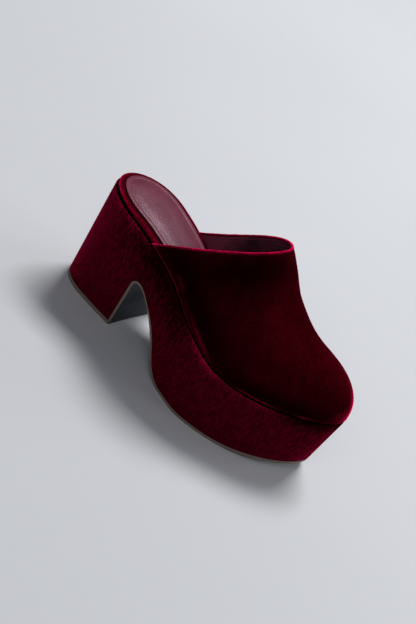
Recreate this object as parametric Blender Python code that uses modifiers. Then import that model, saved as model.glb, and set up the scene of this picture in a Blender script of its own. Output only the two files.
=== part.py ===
"""Platform mule clog for the right foot, in metres: toe along +X, outer side along -Y, +Z up.

The feather edge, where the upper meets the sole, is worked out from one outline table and one footbed
table. The sole unit, the outsole and the heel tip are cut from one lofted block under that edge, and the
upper, the insole board and the insole sock stand on it, so a change of a size carries through to them all.
"""
import math
from typing import NamedTuple

import bmesh
import bpy
import numpy as np

OBJECT_NAME = "platform_clog"
OUTER = -1
INNER = 1

# The last
LENGTH = 0.2459             # back of the heel to the tip of the toe, along the feather edge
TOE_SWING = 0.0187          # how far the tip of the toe lies to the inner side of the heel's centre line
SWING_START = 0.36          # share of the length where the toe starts to swing inwards
SWING_POWER = 1.5
HEEL_ROUND = 0.16           # share of the length over which the back of the heel is rounded
HEEL_POWER = 2.2
STATIONS = 52               # sections along the length

# The sole
OUTSOLE_THICKNESS = 0.0022
THIN_SHARE = 0.48           # the outsole is thinner by this share over the crown of the arch
THIN_AT = 0.0840            # middle of the thin stretch, from the back of the heel
THIN_REACH = 0.0110
TIP_THICKNESS = 0.0033      # top piece under the heel
LIP_CHAMFER = 0.0009        # rounded top edge of the sole's wall
LIP_DROP = 0.0014
BREAST = 0.0684             # top of the heel's front face, from the back of the heel
BREAST_LEAN = 0.030         # the front face leans back this much per metre towards the floor
TIP_SETBACK = 0.0008        # the heel tip ends this far behind the front face
BREAST_SKEW = 0.040         # heel front and arch turn forward this much per metre towards the inner side
NOTCH_RADIUS = 0.0040       # round corner where the heel meets the arch
GROUND_END = 0.1820         # the tread leaves the floor here and rises to the toe
TREAD_TIP = 0.2403          # tip of the tread, set back under the toe
TOE_SPRING = 0.0100         # rise of the tread at its tip
WALL_OVERRUN = 0.15         # share by which the block's walls run on below the tread

# The insole
GAP = 0.0003                # clearance between pieces that touch
BOARD_THICKNESS = 0.0036
BOARD_ROUND = 0.0009        # rounded rim of the board
GROOVE_HEIGHT = 0.0022      # dark groove under the rim
GROOVE_DEPTH = 0.0012
BOARD_INSET_HEEL = 0.0012   # step from the lip to the rim round the heel
BOARD_INSET_VAMP = 0.0025   # the board passes inside the upper's wall
BOARD_STEP_START = 0.0350   # the inset grows between these two places
BOARD_STEP_END = 0.0580
SOCK_THICKNESS = 0.0011
SOCK_INSET = 0.0050         # from the board's rim
SOCK_ROUND = 0.0006

# The upper
WALL = 0.0020
THROAT = {OUTER: 0.0625, INNER: 0.0635}   # the topline meets the feather edge this far from the heel
PEAK_X = 0.1439             # top of the topline, over the instep
PEAK_Y = 0.0015
PEAK_Z = 0.1399
TOPLINE_BOW = {OUTER: 0.0, INNER: 0.0047}     # the topline bows up by this much on its way to the peak
TOE_BOX_SETBACK = 0.0522    # front end of the ridge, behind the tip of the toe
TOE_BOX_HEIGHT = 0.0467     # ridge above the feather edge at its front end
RIDGE_SWING = 0.64          # share of the toe's swing that the ridge follows
RIDGE_POWER = 1.3
FAN = 2.3                   # columns crowd together on the ridge towards the toe box
COVER_POWER = 0.91          # how soon the columns turn from the topline's slant to the toe's curve
FULLNESS_THROAT = {OUTER: 2.69, INNER: 2.23}  # 2 is a plain ellipse, more is a squarer shoulder
FULLNESS_TOE = 2.10
BULGE_THROAT = 0.0018       # how far the wall swells out over the feather edge
BULGE_TOE = 0.0023
COLUMNS = 27                # on each side, from the topline to the toe
ROWS = 18                   # from the feather edge to the ridge
LASTING_EDGE = 0.0040       # the wall runs this far below the feather edge before it is trimmed

CUTTER_REACH = 0.1200       # half width of the cutters across the shoe
CUTTER_MARGIN = 0.0500


class OutlineRow(NamedTuple):
    """Half widths of the feather edge, at a share of the length, before heel and toe are rounded."""
    at: float
    outer: float
    inner: float


class ToeRound(NamedTuple):
    """Where one side starts to round in to the toe, as a share of the length, and how squarely."""
    start: float
    power: float


class FootbedRow(NamedTuple):
    """Height of the feather edge above the floor, at a share of the length."""
    at: float
    height: float


class DraftRow(NamedTuple):
    """How the sole's wall leans, at a share of the length: the tread is set back, and drawn in by a
    share of the half width on each side."""
    at: float
    back: float
    outer: float
    inner: float


class ArchRow(NamedTuple):
    """The tread under the waist: distance forward of the notch's top, and height above the floor."""
    run: float
    height: float


class RidgeRow(NamedTuple):
    """The upper's ridge: share of the way from peak to toe box, and share of its height left there."""
    run: float
    left: float


class CrownRow(NamedTuple):
    """The sock's padded top: distance in from the sock's edge, and rise above the edge."""
    inset: float
    rise: float


OUTLINE = (
    OutlineRow(at=0.00, outer=0.0303, inner=0.0303),
    OutlineRow(at=0.12, outer=0.0303, inner=0.0303),
    OutlineRow(at=0.22, outer=0.0306, inner=0.0300),
    OutlineRow(at=0.40, outer=0.0300, inner=0.0281),
    OutlineRow(at=0.53, outer=0.0393, inner=0.0342),
    OutlineRow(at=0.65, outer=0.0474, inner=0.0393),
    OutlineRow(at=0.72, outer=0.0477, inner=0.0403),
    OutlineRow(at=0.85, outer=0.0462, inner=0.0393),
    OutlineRow(at=1.00, outer=0.0427, inner=0.0373),
)
TOE_ROUND = {OUTER: ToeRound(start=0.60, power=2.03), INNER: ToeRound(start=0.66, power=2.10)}
FOOTBED = (
    FootbedRow(at=0.00, height=0.0892),
    FootbedRow(at=0.10, height=0.0874),
    FootbedRow(at=0.22, height=0.0829),
    FootbedRow(at=0.36, height=0.0718),
    FootbedRow(at=0.50, height=0.0573),
    FootbedRow(at=0.62, height=0.0504),
    FootbedRow(at=0.72, height=0.0475),
    FootbedRow(at=0.84, height=0.0492),
    FootbedRow(at=1.00, height=0.0559),
)
DRAFT = (
    DraftRow(at=0.00, back=-0.0013, outer=0.155, inner=0.155),
    DraftRow(at=0.30, back=0.0074, outer=0.090, inner=0.090),
    DraftRow(at=0.45, back=0.0010, outer=-0.030, inner=0.020),
    DraftRow(at=0.70, back=0.0016, outer=-0.062, inner=-0.020),
    DraftRow(at=0.85, back=0.0036, outer=-0.070, inner=-0.035),
    DraftRow(at=1.00, back=0.0056, outer=-0.070, inner=-0.070),
)
ARCH = (
    ArchRow(run=0.0000, height=0.0469),
    ArchRow(run=0.0060, height=0.0448),
    ArchRow(run=0.0160, height=0.0374),
    ArchRow(run=0.0300, height=0.0245),
    ArchRow(run=0.0470, height=0.0064),
    ArchRow(run=0.0640, height=0.0000),
)
RIDGE = (
    RidgeRow(run=0.00, left=1.00),
    RidgeRow(run=0.25, left=0.73),
    RidgeRow(run=0.50, left=0.31),
    RidgeRow(run=0.75, left=0.05),
    RidgeRow(run=1.00, left=0.00),
)
CROWN = (
    CrownRow(inset=0.0000, rise=0.0000),
    CrownRow(inset=0.0060, rise=0.0005),
    CrownRow(inset=0.0140, rise=0.0009),
)


class Finish(NamedTuple):
    """A plain finish: linear base colour, roughness and metallic value."""
    colour: tuple
    roughness: float
    metallic: float


VELVET_SOLE = Finish(colour=(0.055, 0.002, 0.008), roughness=0.85, metallic=0.0)
VELVET_UPPER = Finish(colour=(0.045, 0.002, 0.006), roughness=0.85, metallic=0.0)
VELVET_RIM = Finish(colour=(0.080, 0.003, 0.012), roughness=0.85, metallic=0.0)
SOCK_LEATHER = Finish(colour=(0.130, 0.030, 0.055), roughness=0.40, metallic=0.0)
OUTSOLE_RUBBER = Finish(colour=(0.110, 0.085, 0.070), roughness=0.60, metallic=0.0)
TIP_RUBBER = Finish(colour=(0.125, 0.095, 0.080), roughness=0.60, metallic=0.0)


def column(rows: tuple, name: str) -> np.ndarray:
    """One column of a table."""
    return np.array([getattr(row, name) for row in rows])


def smooth(knots: np.ndarray, values: np.ndarray, at: np.ndarray, level_ends: bool = False) -> np.ndarray:
    """A smooth curve through a table's values, level at both ends where asked."""
    at = np.asarray(at, dtype=float)
    step = np.diff(knots)
    rate = np.diff(values) / step
    slope = np.zeros_like(values)
    slope[1:-1] = (step[1:] * rate[:-1] + step[:-1] * rate[1:]) / (step[:-1] + step[1:])
    if not level_ends:
        slope[0] = 1.5 * rate[0] - 0.5 * slope[1]
        slope[-1] = 1.5 * rate[-1] - 0.5 * slope[-2]
    k = np.clip(np.searchsorted(knots, at) - 1, 0, len(knots) - 2)
    t = (at - knots[k]) / step[k]
    start = (1 + 2 * t) * (1 - t) ** 2 * values[k] + t * (1 - t) ** 2 * step[k] * slope[k]
    end = t ** 2 * (3 - 2 * t) * values[k + 1] + t ** 2 * (t - 1) * step[k] * slope[k + 1]
    return start + end


def ease(at: np.ndarray, start: float, end: float) -> np.ndarray:
    """A soft step from 0 at start to 1 at end."""
    t = np.clip((at - start) / (end - start), 0.0, 1.0)
    return t * t * (3 - 2 * t)


def swing(x: np.ndarray) -> np.ndarray:
    """Sideways place of the last's middle line."""
    share = np.clip((x / LENGTH - SWING_START) / (1 - SWING_START), 0.0, 1.0)
    return TOE_SWING * share ** SWING_POWER


def edge(x: np.ndarray, side: int) -> np.ndarray:
    """Sideways place of the feather edge on one side."""
    name = "outer" if side == OUTER else "inner"
    half = smooth(column(OUTLINE, "at") * LENGTH, column(OUTLINE, name), x)
    behind = np.clip(1 - x / (HEEL_ROUND * LENGTH), 0.0, 1.0)
    half = half * np.sqrt(1 - behind ** HEEL_POWER)
    toe = TOE_ROUND[side]
    ahead = np.clip((x / LENGTH - toe.start) / (1 - toe.start), 0.0, 1.0)
    half = half * (1 - ahead ** toe.power) ** (1 / toe.power)
    return side * half + swing(x)


def footbed(x: np.ndarray) -> np.ndarray:
    """Height of the feather edge and of the sole's top."""
    return smooth(column(FOOTBED, "at") * LENGTH, column(FOOTBED, "height"), np.clip(x, 0.0, LENGTH))


def tread(x: np.ndarray) -> np.ndarray:
    """Height of the tread from the ball forward: flat on the floor, then rising to the toe."""
    return TOE_SPRING * np.clip((x - GROUND_END) / (TREAD_TIP - GROUND_END), 0.0, None) ** 2


def stations() -> np.ndarray:
    """Places of the sections along the length, closer together at heel and toe."""
    return LENGTH * (0.5 - 0.5 * np.cos(np.linspace(0.0, math.pi, STATIONS)))


def inward(line: np.ndarray, closed: bool) -> np.ndarray:
    """Unit normals in plan to the left of a line that runs from heel to toe on the outer side."""
    if closed:
        along = np.roll(line, -1, axis=0) - np.roll(line, 1, axis=0)
    else:
        along = np.gradient(line, axis=0)
    along = along / np.linalg.norm(along, axis=1, keepdims=True)
    return np.column_stack([-along[:, 1], along[:, 0]])


def feather_loop(inset: float = 0.0) -> np.ndarray:
    """The feather edge in plan: outer side from heel to toe, then back along the inner side."""
    x = stations()
    outer = np.column_stack([x, edge(x, OUTER)])
    inner = np.column_stack([x, edge(x, INNER)])[-2:0:-1]
    loop = np.concatenate([outer, inner])
    return loop + inset * inward(loop, closed=True)


def on_footbed(loop: np.ndarray, lift: float) -> np.ndarray:
    """A plan loop raised to a height above the sole's top."""
    return np.column_stack([loop, footbed(loop[:, 0]) + lift])


def tread_loop() -> np.ndarray:
    """The feather edge drawn down to the tread, with the lean of the sole's wall."""
    loop = feather_loop()
    at = loop[:, 0] / LENGTH
    middle = swing(loop[:, 0])
    knots = column(DRAFT, "at")
    x = loop[:, 0] - smooth(knots, column(DRAFT, "back"), at)
    drawn = np.where(loop[:, 1] < middle,
                     smooth(knots, column(DRAFT, "outer"), at),
                     smooth(knots, column(DRAFT, "inner"), at))
    y = middle + (loop[:, 1] - middle) * (1 - drawn)
    return np.column_stack([x, y, tread(x)])


def breast_at(height: float) -> float:
    """Place of the heel's front face at a height, from the back of the heel."""
    return BREAST - BREAST_LEAN * (ARCH[0].height - NOTCH_RADIUS - height)


def tread_profile(thickness: float, gap: float = 0.0) -> np.ndarray:
    """Side view of the tread from the heel's front face to past the toe, raised square to itself by a
    thickness that is less over the arch, and by an even gap."""
    notch_top = ARCH[0].height
    rise = np.linspace(TIP_THICKNESS + GAP, notch_top - NOTCH_RADIUS, 4)
    breast = np.column_stack([breast_at(rise), rise])
    turn = np.linspace(math.pi, math.pi / 2, 7)[1:-1]
    centre_x = BREAST + NOTCH_RADIUS
    notch = np.column_stack([centre_x + NOTCH_RADIUS * np.cos(turn),
                             notch_top + NOTCH_RADIUS * (np.sin(turn) - 1)])
    run = np.linspace(0.0, ARCH[-1].run, 26)
    arch = np.column_stack([centre_x + run, smooth(column(ARCH, "run"), column(ARCH, "height"), run, True)])
    ahead = np.linspace(GROUND_END, LENGTH + CUTTER_MARGIN / 2, 14)
    front = np.column_stack([ahead, tread(ahead)])
    path = np.concatenate([breast, notch, arch, front])
    thin = 1 - THIN_SHARE * np.exp(-((path[:, 0] - THIN_AT) / THIN_REACH) ** 2)
    return path + (thickness * thin + gap)[:, None] * inward(path, closed=False)


def ridge(run: np.ndarray) -> tuple:
    """The upper's top line from the peak of the topline to the toe box, and its slope in side view."""
    end_x = LENGTH - TOE_BOX_SETBACK
    end_z = footbed(end_x) + TOE_BOX_HEIGHT
    knots = column(RIDGE, "run")
    heights = end_z + (PEAK_Z - end_z) * column(RIDGE, "left")
    step = 0.001
    x = PEAK_X + (end_x - PEAK_X) * run
    y = PEAK_Y + (swing(end_x) * RIDGE_SWING - PEAK_Y) * run ** RIDGE_POWER
    z = smooth(knots, heights, run)
    slope = smooth(knots, heights, run + step) - smooth(knots, heights, run - step)
    return np.column_stack([x, y, z]), slope / (2 * step * (end_x - PEAK_X))


def upper_columns() -> np.ndarray:
    """Points of the upper's outside: columns round the toe from topline to topline, rows up to the ridge.

    Each column leaves the feather edge upright, swells out, and comes over the shoulder to the ridge with
    the ridge's own slope, so that both sides meet there in one smooth surface. At the throat a column
    runs forward as it climbs, which gives the slant of the topline, and at the toe as it comes over.
    """
    share = np.linspace(0.0, 1.0, COLUMNS)
    crest, crest_slope = ridge(1 - (1 - share) ** FAN)
    turn = np.sin(share * math.pi / 2) ** 2
    angle = np.linspace(0.0, math.pi / 2, ROWS + 1)[None, :]
    cosine = np.clip(np.cos(angle), 0.0, 1.0)
    halves = []
    for side, throat in THROAT.items():
        x = throat + (LENGTH - throat) * np.sin(share * math.pi / 2)
        base = np.column_stack([x, edge(x, side), footbed(x)])
        ahead = (turn ** COVER_POWER)[:, None]
        fullness = FULLNESS_THROAT[side] + (FULLNESS_TOE - FULLNESS_THROAT[side]) * turn
        power = (2 / fullness)[:, None]
        over = 1 - cosine ** power
        up = np.sin(angle) ** power
        reach = crest - base
        lean = crest_slope[:, None] * reach[:, :1] * ahead
        run = base[:, :1] + reach[:, :1] * ((1 - ahead) * up + ahead * over)
        across = base[:, 1:2] + reach[:, 1:2] * over
        height = base[:, 2:] + (reach[:, 2:] - lean) * up + lean * over
        height = height + TOPLINE_BOW[side] * ((1 - turn) ** 2)[:, None] * np.sin(2 * angle) ** 2
        halves.append(np.stack([run, across, height], axis=2))
    columns = np.concatenate([halves[0], halves[1][-2::-1]])

    turn = np.concatenate([turn, turn[-2::-1]])
    normal = inward(columns[:, 0, :2], closed=False)
    swell = (BULGE_THROAT + (BULGE_TOE - BULGE_THROAT) * turn)[:, None]
    swell = swell * np.sin(2 * angle) * np.sqrt(cosine)
    columns[:, :, :2] -= normal[:, None] * swell[..., None]
    return columns


def new_collection(name: str) -> bpy.types.Collection:
    """A collection linked to the scene."""
    made = bpy.data.collections.new(name)
    bpy.context.scene.collection.children.link(made)
    return made


def new_material(name: str, finish: Finish) -> bpy.types.Material:
    """A Principled material with a plain finish."""
    material = bpy.data.materials.new(name)
    material.use_nodes = True
    shader = material.node_tree.nodes["Principled BSDF"]
    shader.inputs["Base Color"].default_value = (*finish.colour, 1.0)
    shader.inputs["Roughness"].default_value = finish.roughness
    shader.inputs["Metallic"].default_value = finish.metallic
    material.diffuse_color = (*finish.colour, 1.0)
    return material


def new_object(name: str, bm: bmesh.types.BMesh, collection: bpy.types.Collection) -> bpy.types.Object:
    """An object from a bmesh, with its faces turned outwards."""
    bmesh.ops.recalc_face_normals(bm, faces=bm.faces[:])
    mesh = bpy.data.meshes.new(name)
    bm.to_mesh(mesh)
    bm.free()
    made = bpy.data.objects.new(name, mesh)
    collection.objects.link(made)
    return made


def loft(rings: list) -> bmesh.types.BMesh:
    """A closed body through loops of equal count, its ends filled in strips from side to side."""
    bm = bmesh.new()
    loops = [[bm.verts.new(point) for point in ring] for ring in rings]
    count = len(loops[0])
    for low, high in zip(loops, loops[1:]):
        for k in range(count):
            after = (k + 1) % count
            bm.faces.new((low[k], low[after], high[after], high[k]))
    toe = count // 2
    for loop in (loops[0], loops[-1]):
        bm.faces.new((loop[0], loop[1], loop[count - 1]))
        for k in range(1, toe - 1):
            bm.faces.new((loop[k], loop[k + 1], loop[count - k - 1], loop[count - k]))
        bm.faces.new((loop[toe - 1], loop[toe], loop[toe + 1]))
    return bm


def side_cutter(name: str, profile: np.ndarray, skew: float,
                collection: bpy.types.Collection) -> bpy.types.Object:
    """A cutter that runs right across the shoe, from a closed outline in side view."""
    bm = bmesh.new()
    verts = [bm.verts.new((x - skew * CUTTER_REACH, -CUTTER_REACH, z)) for x, z in profile]
    face = bm.faces.new(verts)
    grown = bmesh.ops.extrude_face_region(bm, geom=[face])
    moved = [item for item in grown["geom"] if isinstance(item, bmesh.types.BMVert)]
    across = 2 * CUTTER_REACH
    bmesh.ops.translate(bm, verts=moved, vec=(skew * across, across, 0.0))
    cutter = new_object(name, bm, collection)
    cutter.hide_render = True
    cutter.display_type = "WIRE"
    return cutter


def cut(target: bpy.types.Object, cutter: bpy.types.Object, operation: str) -> None:
    """A Boolean modifier on the target."""
    modifier = target.modifiers.new(cutter.name, "BOOLEAN")
    modifier.operation = operation
    modifier.solver = "EXACT"
    modifier.object = cutter


def sole_block() -> bmesh.types.BMesh:
    """Platform and heel in one block under the feather edge, with its walls run on below the tread."""
    lip = on_footbed(feather_loop(), -LIP_DROP)
    foot = tread_loop()
    below = foot + (foot - lip) * WALL_OVERRUN
    return loft([below, foot, lip, on_footbed(feather_loop(LIP_CHAMFER), 0.0)])


def make_sole_unit(parts: bpy.types.Collection, cutters: bpy.types.Collection) -> bpy.types.Object:
    """The wrapped platform and heel, cut away for the tread and the heel tip."""
    tread_line = tread_profile(OUTSOLE_THICKNESS, GAP)
    tip_top = TIP_THICKNESS + GAP
    profile = np.concatenate([
        [(-CUTTER_MARGIN, -CUTTER_MARGIN), (-CUTTER_MARGIN, tip_top)],
        tread_line,
        [(tread_line[-1, 0], -CUTTER_MARGIN)],
    ])
    sole = new_object("sole_unit", sole_block(), parts)
    cut(sole, side_cutter("below_sole_unit", profile, BREAST_SKEW, cutters), "DIFFERENCE")
    return sole


def make_outsole(parts: bpy.types.Collection, cutters: bpy.types.Collection) -> bpy.types.Object:
    """The thin sheet under forefoot and arch that turns down the front of the heel."""
    band = np.concatenate([tread_profile(0.0), tread_profile(OUTSOLE_THICKNESS)[::-1]])
    outsole = new_object("outsole", sole_block(), parts)
    cut(outsole, side_cutter("outsole_band", band, BREAST_SKEW, cutters), "INTERSECT")
    return outsole


def make_heel_tip(parts: bpy.types.Collection, cutters: bpy.types.Collection) -> bpy.types.Object:
    """The flat top piece that the heel stands on."""
    slab = np.array([
        (-CUTTER_MARGIN, 0.0),
        (breast_at(0.0) - TIP_SETBACK, 0.0),
        (breast_at(TIP_THICKNESS) - TIP_SETBACK, TIP_THICKNESS),
        (-CUTTER_MARGIN, TIP_THICKNESS),
    ])
    tip = new_object("heel_tip", sole_block(), parts)
    cut(tip, side_cutter("heel_tip_slab", slab, BREAST_SKEW, cutters), "INTERSECT")
    return tip


def board_inset() -> np.ndarray:
    """Step from the lip to the board's rim, wider where the board passes inside the upper."""
    x = feather_loop()[:, 0]
    grown = ease(x, BOARD_STEP_START, BOARD_STEP_END)
    return (BOARD_INSET_HEEL + (BOARD_INSET_VAMP - BOARD_INSET_HEEL) * grown)[:, None]


def make_insole_board(parts: bpy.types.Collection) -> bpy.types.Object:
    """The wrapped insole board whose rim shows round the heel, over a groove."""
    rim = board_inset()
    top = GAP + BOARD_THICKNESS
    rings = [
        on_footbed(feather_loop(rim + GROOVE_DEPTH), GAP),
        on_footbed(feather_loop(rim + GROOVE_DEPTH), GAP + GROOVE_HEIGHT),
        on_footbed(feather_loop(rim), GAP + GROOVE_HEIGHT),
        on_footbed(feather_loop(rim), top - BOARD_ROUND),
        on_footbed(feather_loop(rim + BOARD_ROUND), top),
    ]
    return new_object("insole_board", loft(rings), parts)


def make_insole_sock(parts: bpy.types.Collection) -> bpy.types.Object:
    """The padded leather sock that the foot rests on."""
    side = board_inset() + SOCK_INSET
    bottom = 2 * GAP + BOARD_THICKNESS
    rings = [
        on_footbed(feather_loop(side + SOCK_ROUND), bottom),
        on_footbed(feather_loop(side), bottom + SOCK_ROUND),
    ]
    for row in CROWN:
        inset = side + SOCK_ROUND + row.inset
        rings.append(on_footbed(feather_loop(inset), bottom + SOCK_THICKNESS + row.rise))
    return new_object("insole_sock", loft(rings), parts)


def make_upper(parts: bpy.types.Collection, cutters: bpy.types.Collection) -> bpy.types.Object:
    """The hollow upper: one wall, open at the topline and underneath, trimmed along the sole's top."""
    columns = upper_columns()
    below = columns[:, :1] - np.array([0.0, 0.0, LASTING_EDGE])
    columns = np.concatenate([below, columns], axis=1)
    bm = bmesh.new()
    crest = [bm.verts.new(point) for point in columns[:COLUMNS, -1]]
    grid = []
    for k, points in enumerate(columns):
        meets = crest[min(k, len(columns) - 1 - k)]
        grid.append([bm.verts.new(point) for point in points[:-1]] + [meets])
    for left, right in zip(grid, grid[1:]):
        for row in range(len(left) - 1):
            bm.faces.new((left[row], right[row], right[row + 1], left[row + 1]))
    upper = new_object("upper", bm, parts)
    wall = upper.modifiers.new("wall", "SOLIDIFY")
    wall.thickness = WALL
    wall.offset = -1.0
    wall.use_even_offset = True

    x = stations()
    trim_line = np.column_stack([x, footbed(x) + GAP])
    trim_line[0, 0] -= CUTTER_MARGIN
    trim_line[-1, 0] += CUTTER_MARGIN
    profile = np.concatenate([
        trim_line,
        [(trim_line[-1, 0], 0.0), (trim_line[0, 0], 0.0)],
    ])
    cut(upper, side_cutter("below_upper", profile, 0.0, cutters), "DIFFERENCE")
    return upper


def stand_on_origin(parts: list, cutters: list) -> None:
    """Hang parts and cutters on an empty that puts the middle of the parts' box over the origin."""
    graph = bpy.context.evaluated_depsgraph_get()
    points = []
    for part in parts:
        mesh = part.evaluated_get(graph).to_mesh()
        points.extend(vertex.co.copy() for vertex in mesh.vertices)
        part.evaluated_get(graph).to_mesh_clear()
    points = np.array(points)
    low, high = points.min(axis=0), points.max(axis=0)
    stand = bpy.data.objects.new("stand", None)
    bpy.context.scene.collection.objects.link(stand)
    stand.location = (-(low[0] + high[0]) / 2, -(low[1] + high[1]) / 2, 0.0)
    for hung in parts + cutters:
        hung.parent = stand


def main() -> None:
    """Clear the scene and build the clog."""
    for leftover in list(bpy.data.objects):
        bpy.data.objects.remove(leftover, do_unlink=True)
    parts = new_collection(OBJECT_NAME)
    cutters = new_collection("cutters")
    made = {
        make_sole_unit(parts, cutters): VELVET_SOLE,
        make_outsole(parts, cutters): OUTSOLE_RUBBER,
        make_heel_tip(parts, cutters): TIP_RUBBER,
        make_insole_board(parts): VELVET_RIM,
        make_insole_sock(parts): SOCK_LEATHER,
        make_upper(parts, cutters): VELVET_UPPER,
    }
    for part, finish in made.items():
        part.data.materials.append(new_material(part.name, finish))
        part.data.shade_smooth()
    bpy.context.view_layer.update()
    stand_on_origin(list(made), list(cutters.objects))


main()
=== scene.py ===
"""Dresses the right-foot platform mule clog: velvet, lining, padded sock, rubber sole and stitching.

All sizes are metres. The last is measured from the back of the heel (x = 0), the heel's middle line (y = 0)
and the floor (z = 0), with the toe along +X and the outer side along -Y. Last.placed moves a point of the
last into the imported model's frame.
"""

import logging
import math
from dataclasses import dataclass, field
from enum import Enum

import bmesh
import bpy
import numpy as np
from mathutils import Matrix, Vector, noise


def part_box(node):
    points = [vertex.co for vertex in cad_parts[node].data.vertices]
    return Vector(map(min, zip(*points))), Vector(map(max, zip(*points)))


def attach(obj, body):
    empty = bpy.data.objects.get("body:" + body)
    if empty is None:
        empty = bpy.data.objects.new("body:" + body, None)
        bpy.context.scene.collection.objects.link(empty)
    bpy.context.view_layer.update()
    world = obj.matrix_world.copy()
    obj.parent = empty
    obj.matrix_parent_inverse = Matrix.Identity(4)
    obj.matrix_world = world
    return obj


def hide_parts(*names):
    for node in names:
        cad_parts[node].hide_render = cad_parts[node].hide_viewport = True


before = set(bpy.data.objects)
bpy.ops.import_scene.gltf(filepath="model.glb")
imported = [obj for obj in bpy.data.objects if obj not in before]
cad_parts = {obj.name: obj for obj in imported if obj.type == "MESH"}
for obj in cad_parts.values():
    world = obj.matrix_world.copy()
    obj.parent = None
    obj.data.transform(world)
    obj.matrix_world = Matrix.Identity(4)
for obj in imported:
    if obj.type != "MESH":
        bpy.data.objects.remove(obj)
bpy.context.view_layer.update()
LOG = logging.getLogger("platform_clog")

BODY = "root"
WELD = 2e-6                 # points closer than this are one point
SHARP_ANGLE = math.radians(38)
# The ruffle moves points further where the fold mark is set; OPEN_PILE is that extra share.
OPEN_PILE = 2.5             # how much further the tips of opened pile move than those of flat pile


class Side(Enum):
    """The two sides of the shoe, with the sign of y on each."""
    OUTER = -1
    INNER = 1


@dataclass(frozen=True)
class Curve:
    """A smooth curve through a short table of (place, value) rows, level at its ends where asked."""
    rows: tuple
    level_ends: bool = False

    def at(self, place: np.ndarray) -> np.ndarray:
        """Value of the curve.

        Args:
            place: places along the table's first column.

        Returns:
            The values there, of the same shape.
        """
        knots, values = np.array(self.rows, dtype=float).T
        place = np.asarray(place, dtype=float)
        step = np.diff(knots)
        rate = np.diff(values) / step
        slope = np.zeros_like(values)
        slope[1:-1] = (step[1:] * rate[:-1] + step[:-1] * rate[1:]) / (step[:-1] + step[1:])
        if not self.level_ends:
            slope[0] = 1.5 * rate[0] - 0.5 * slope[1]
            slope[-1] = 1.5 * rate[-1] - 0.5 * slope[-2]
        k = np.clip(np.searchsorted(knots, place) - 1, 0, len(knots) - 2)
        t = (place - knots[k]) / step[k]
        start = (1 + 2 * t) * (1 - t) ** 2 * values[k] + t * (1 - t) ** 2 * step[k] * slope[k]
        end = t ** 2 * (3 - 2 * t) * values[k + 1] + t ** 2 * (t - 1) * step[k] * slope[k + 1]
        return start + end


def ease(at: np.ndarray, start: float, end: float) -> np.ndarray:
    """A soft step from 0 at start to 1 at end."""
    t = np.clip((np.asarray(at, dtype=float) - start) / (end - start), 0.0, 1.0)
    return t * t * (3 - 2 * t)


def unit(vectors: np.ndarray) -> np.ndarray:
    """The vectors scaled to length 1."""
    return vectors / np.maximum(np.linalg.norm(vectors, axis=-1, keepdims=True), 1e-12)


def default(rows: tuple, level_ends: bool = False) -> Curve:
    """A dataclass field that holds a curve."""
    return field(default_factory=lambda: Curve(rows, level_ends))


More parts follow.
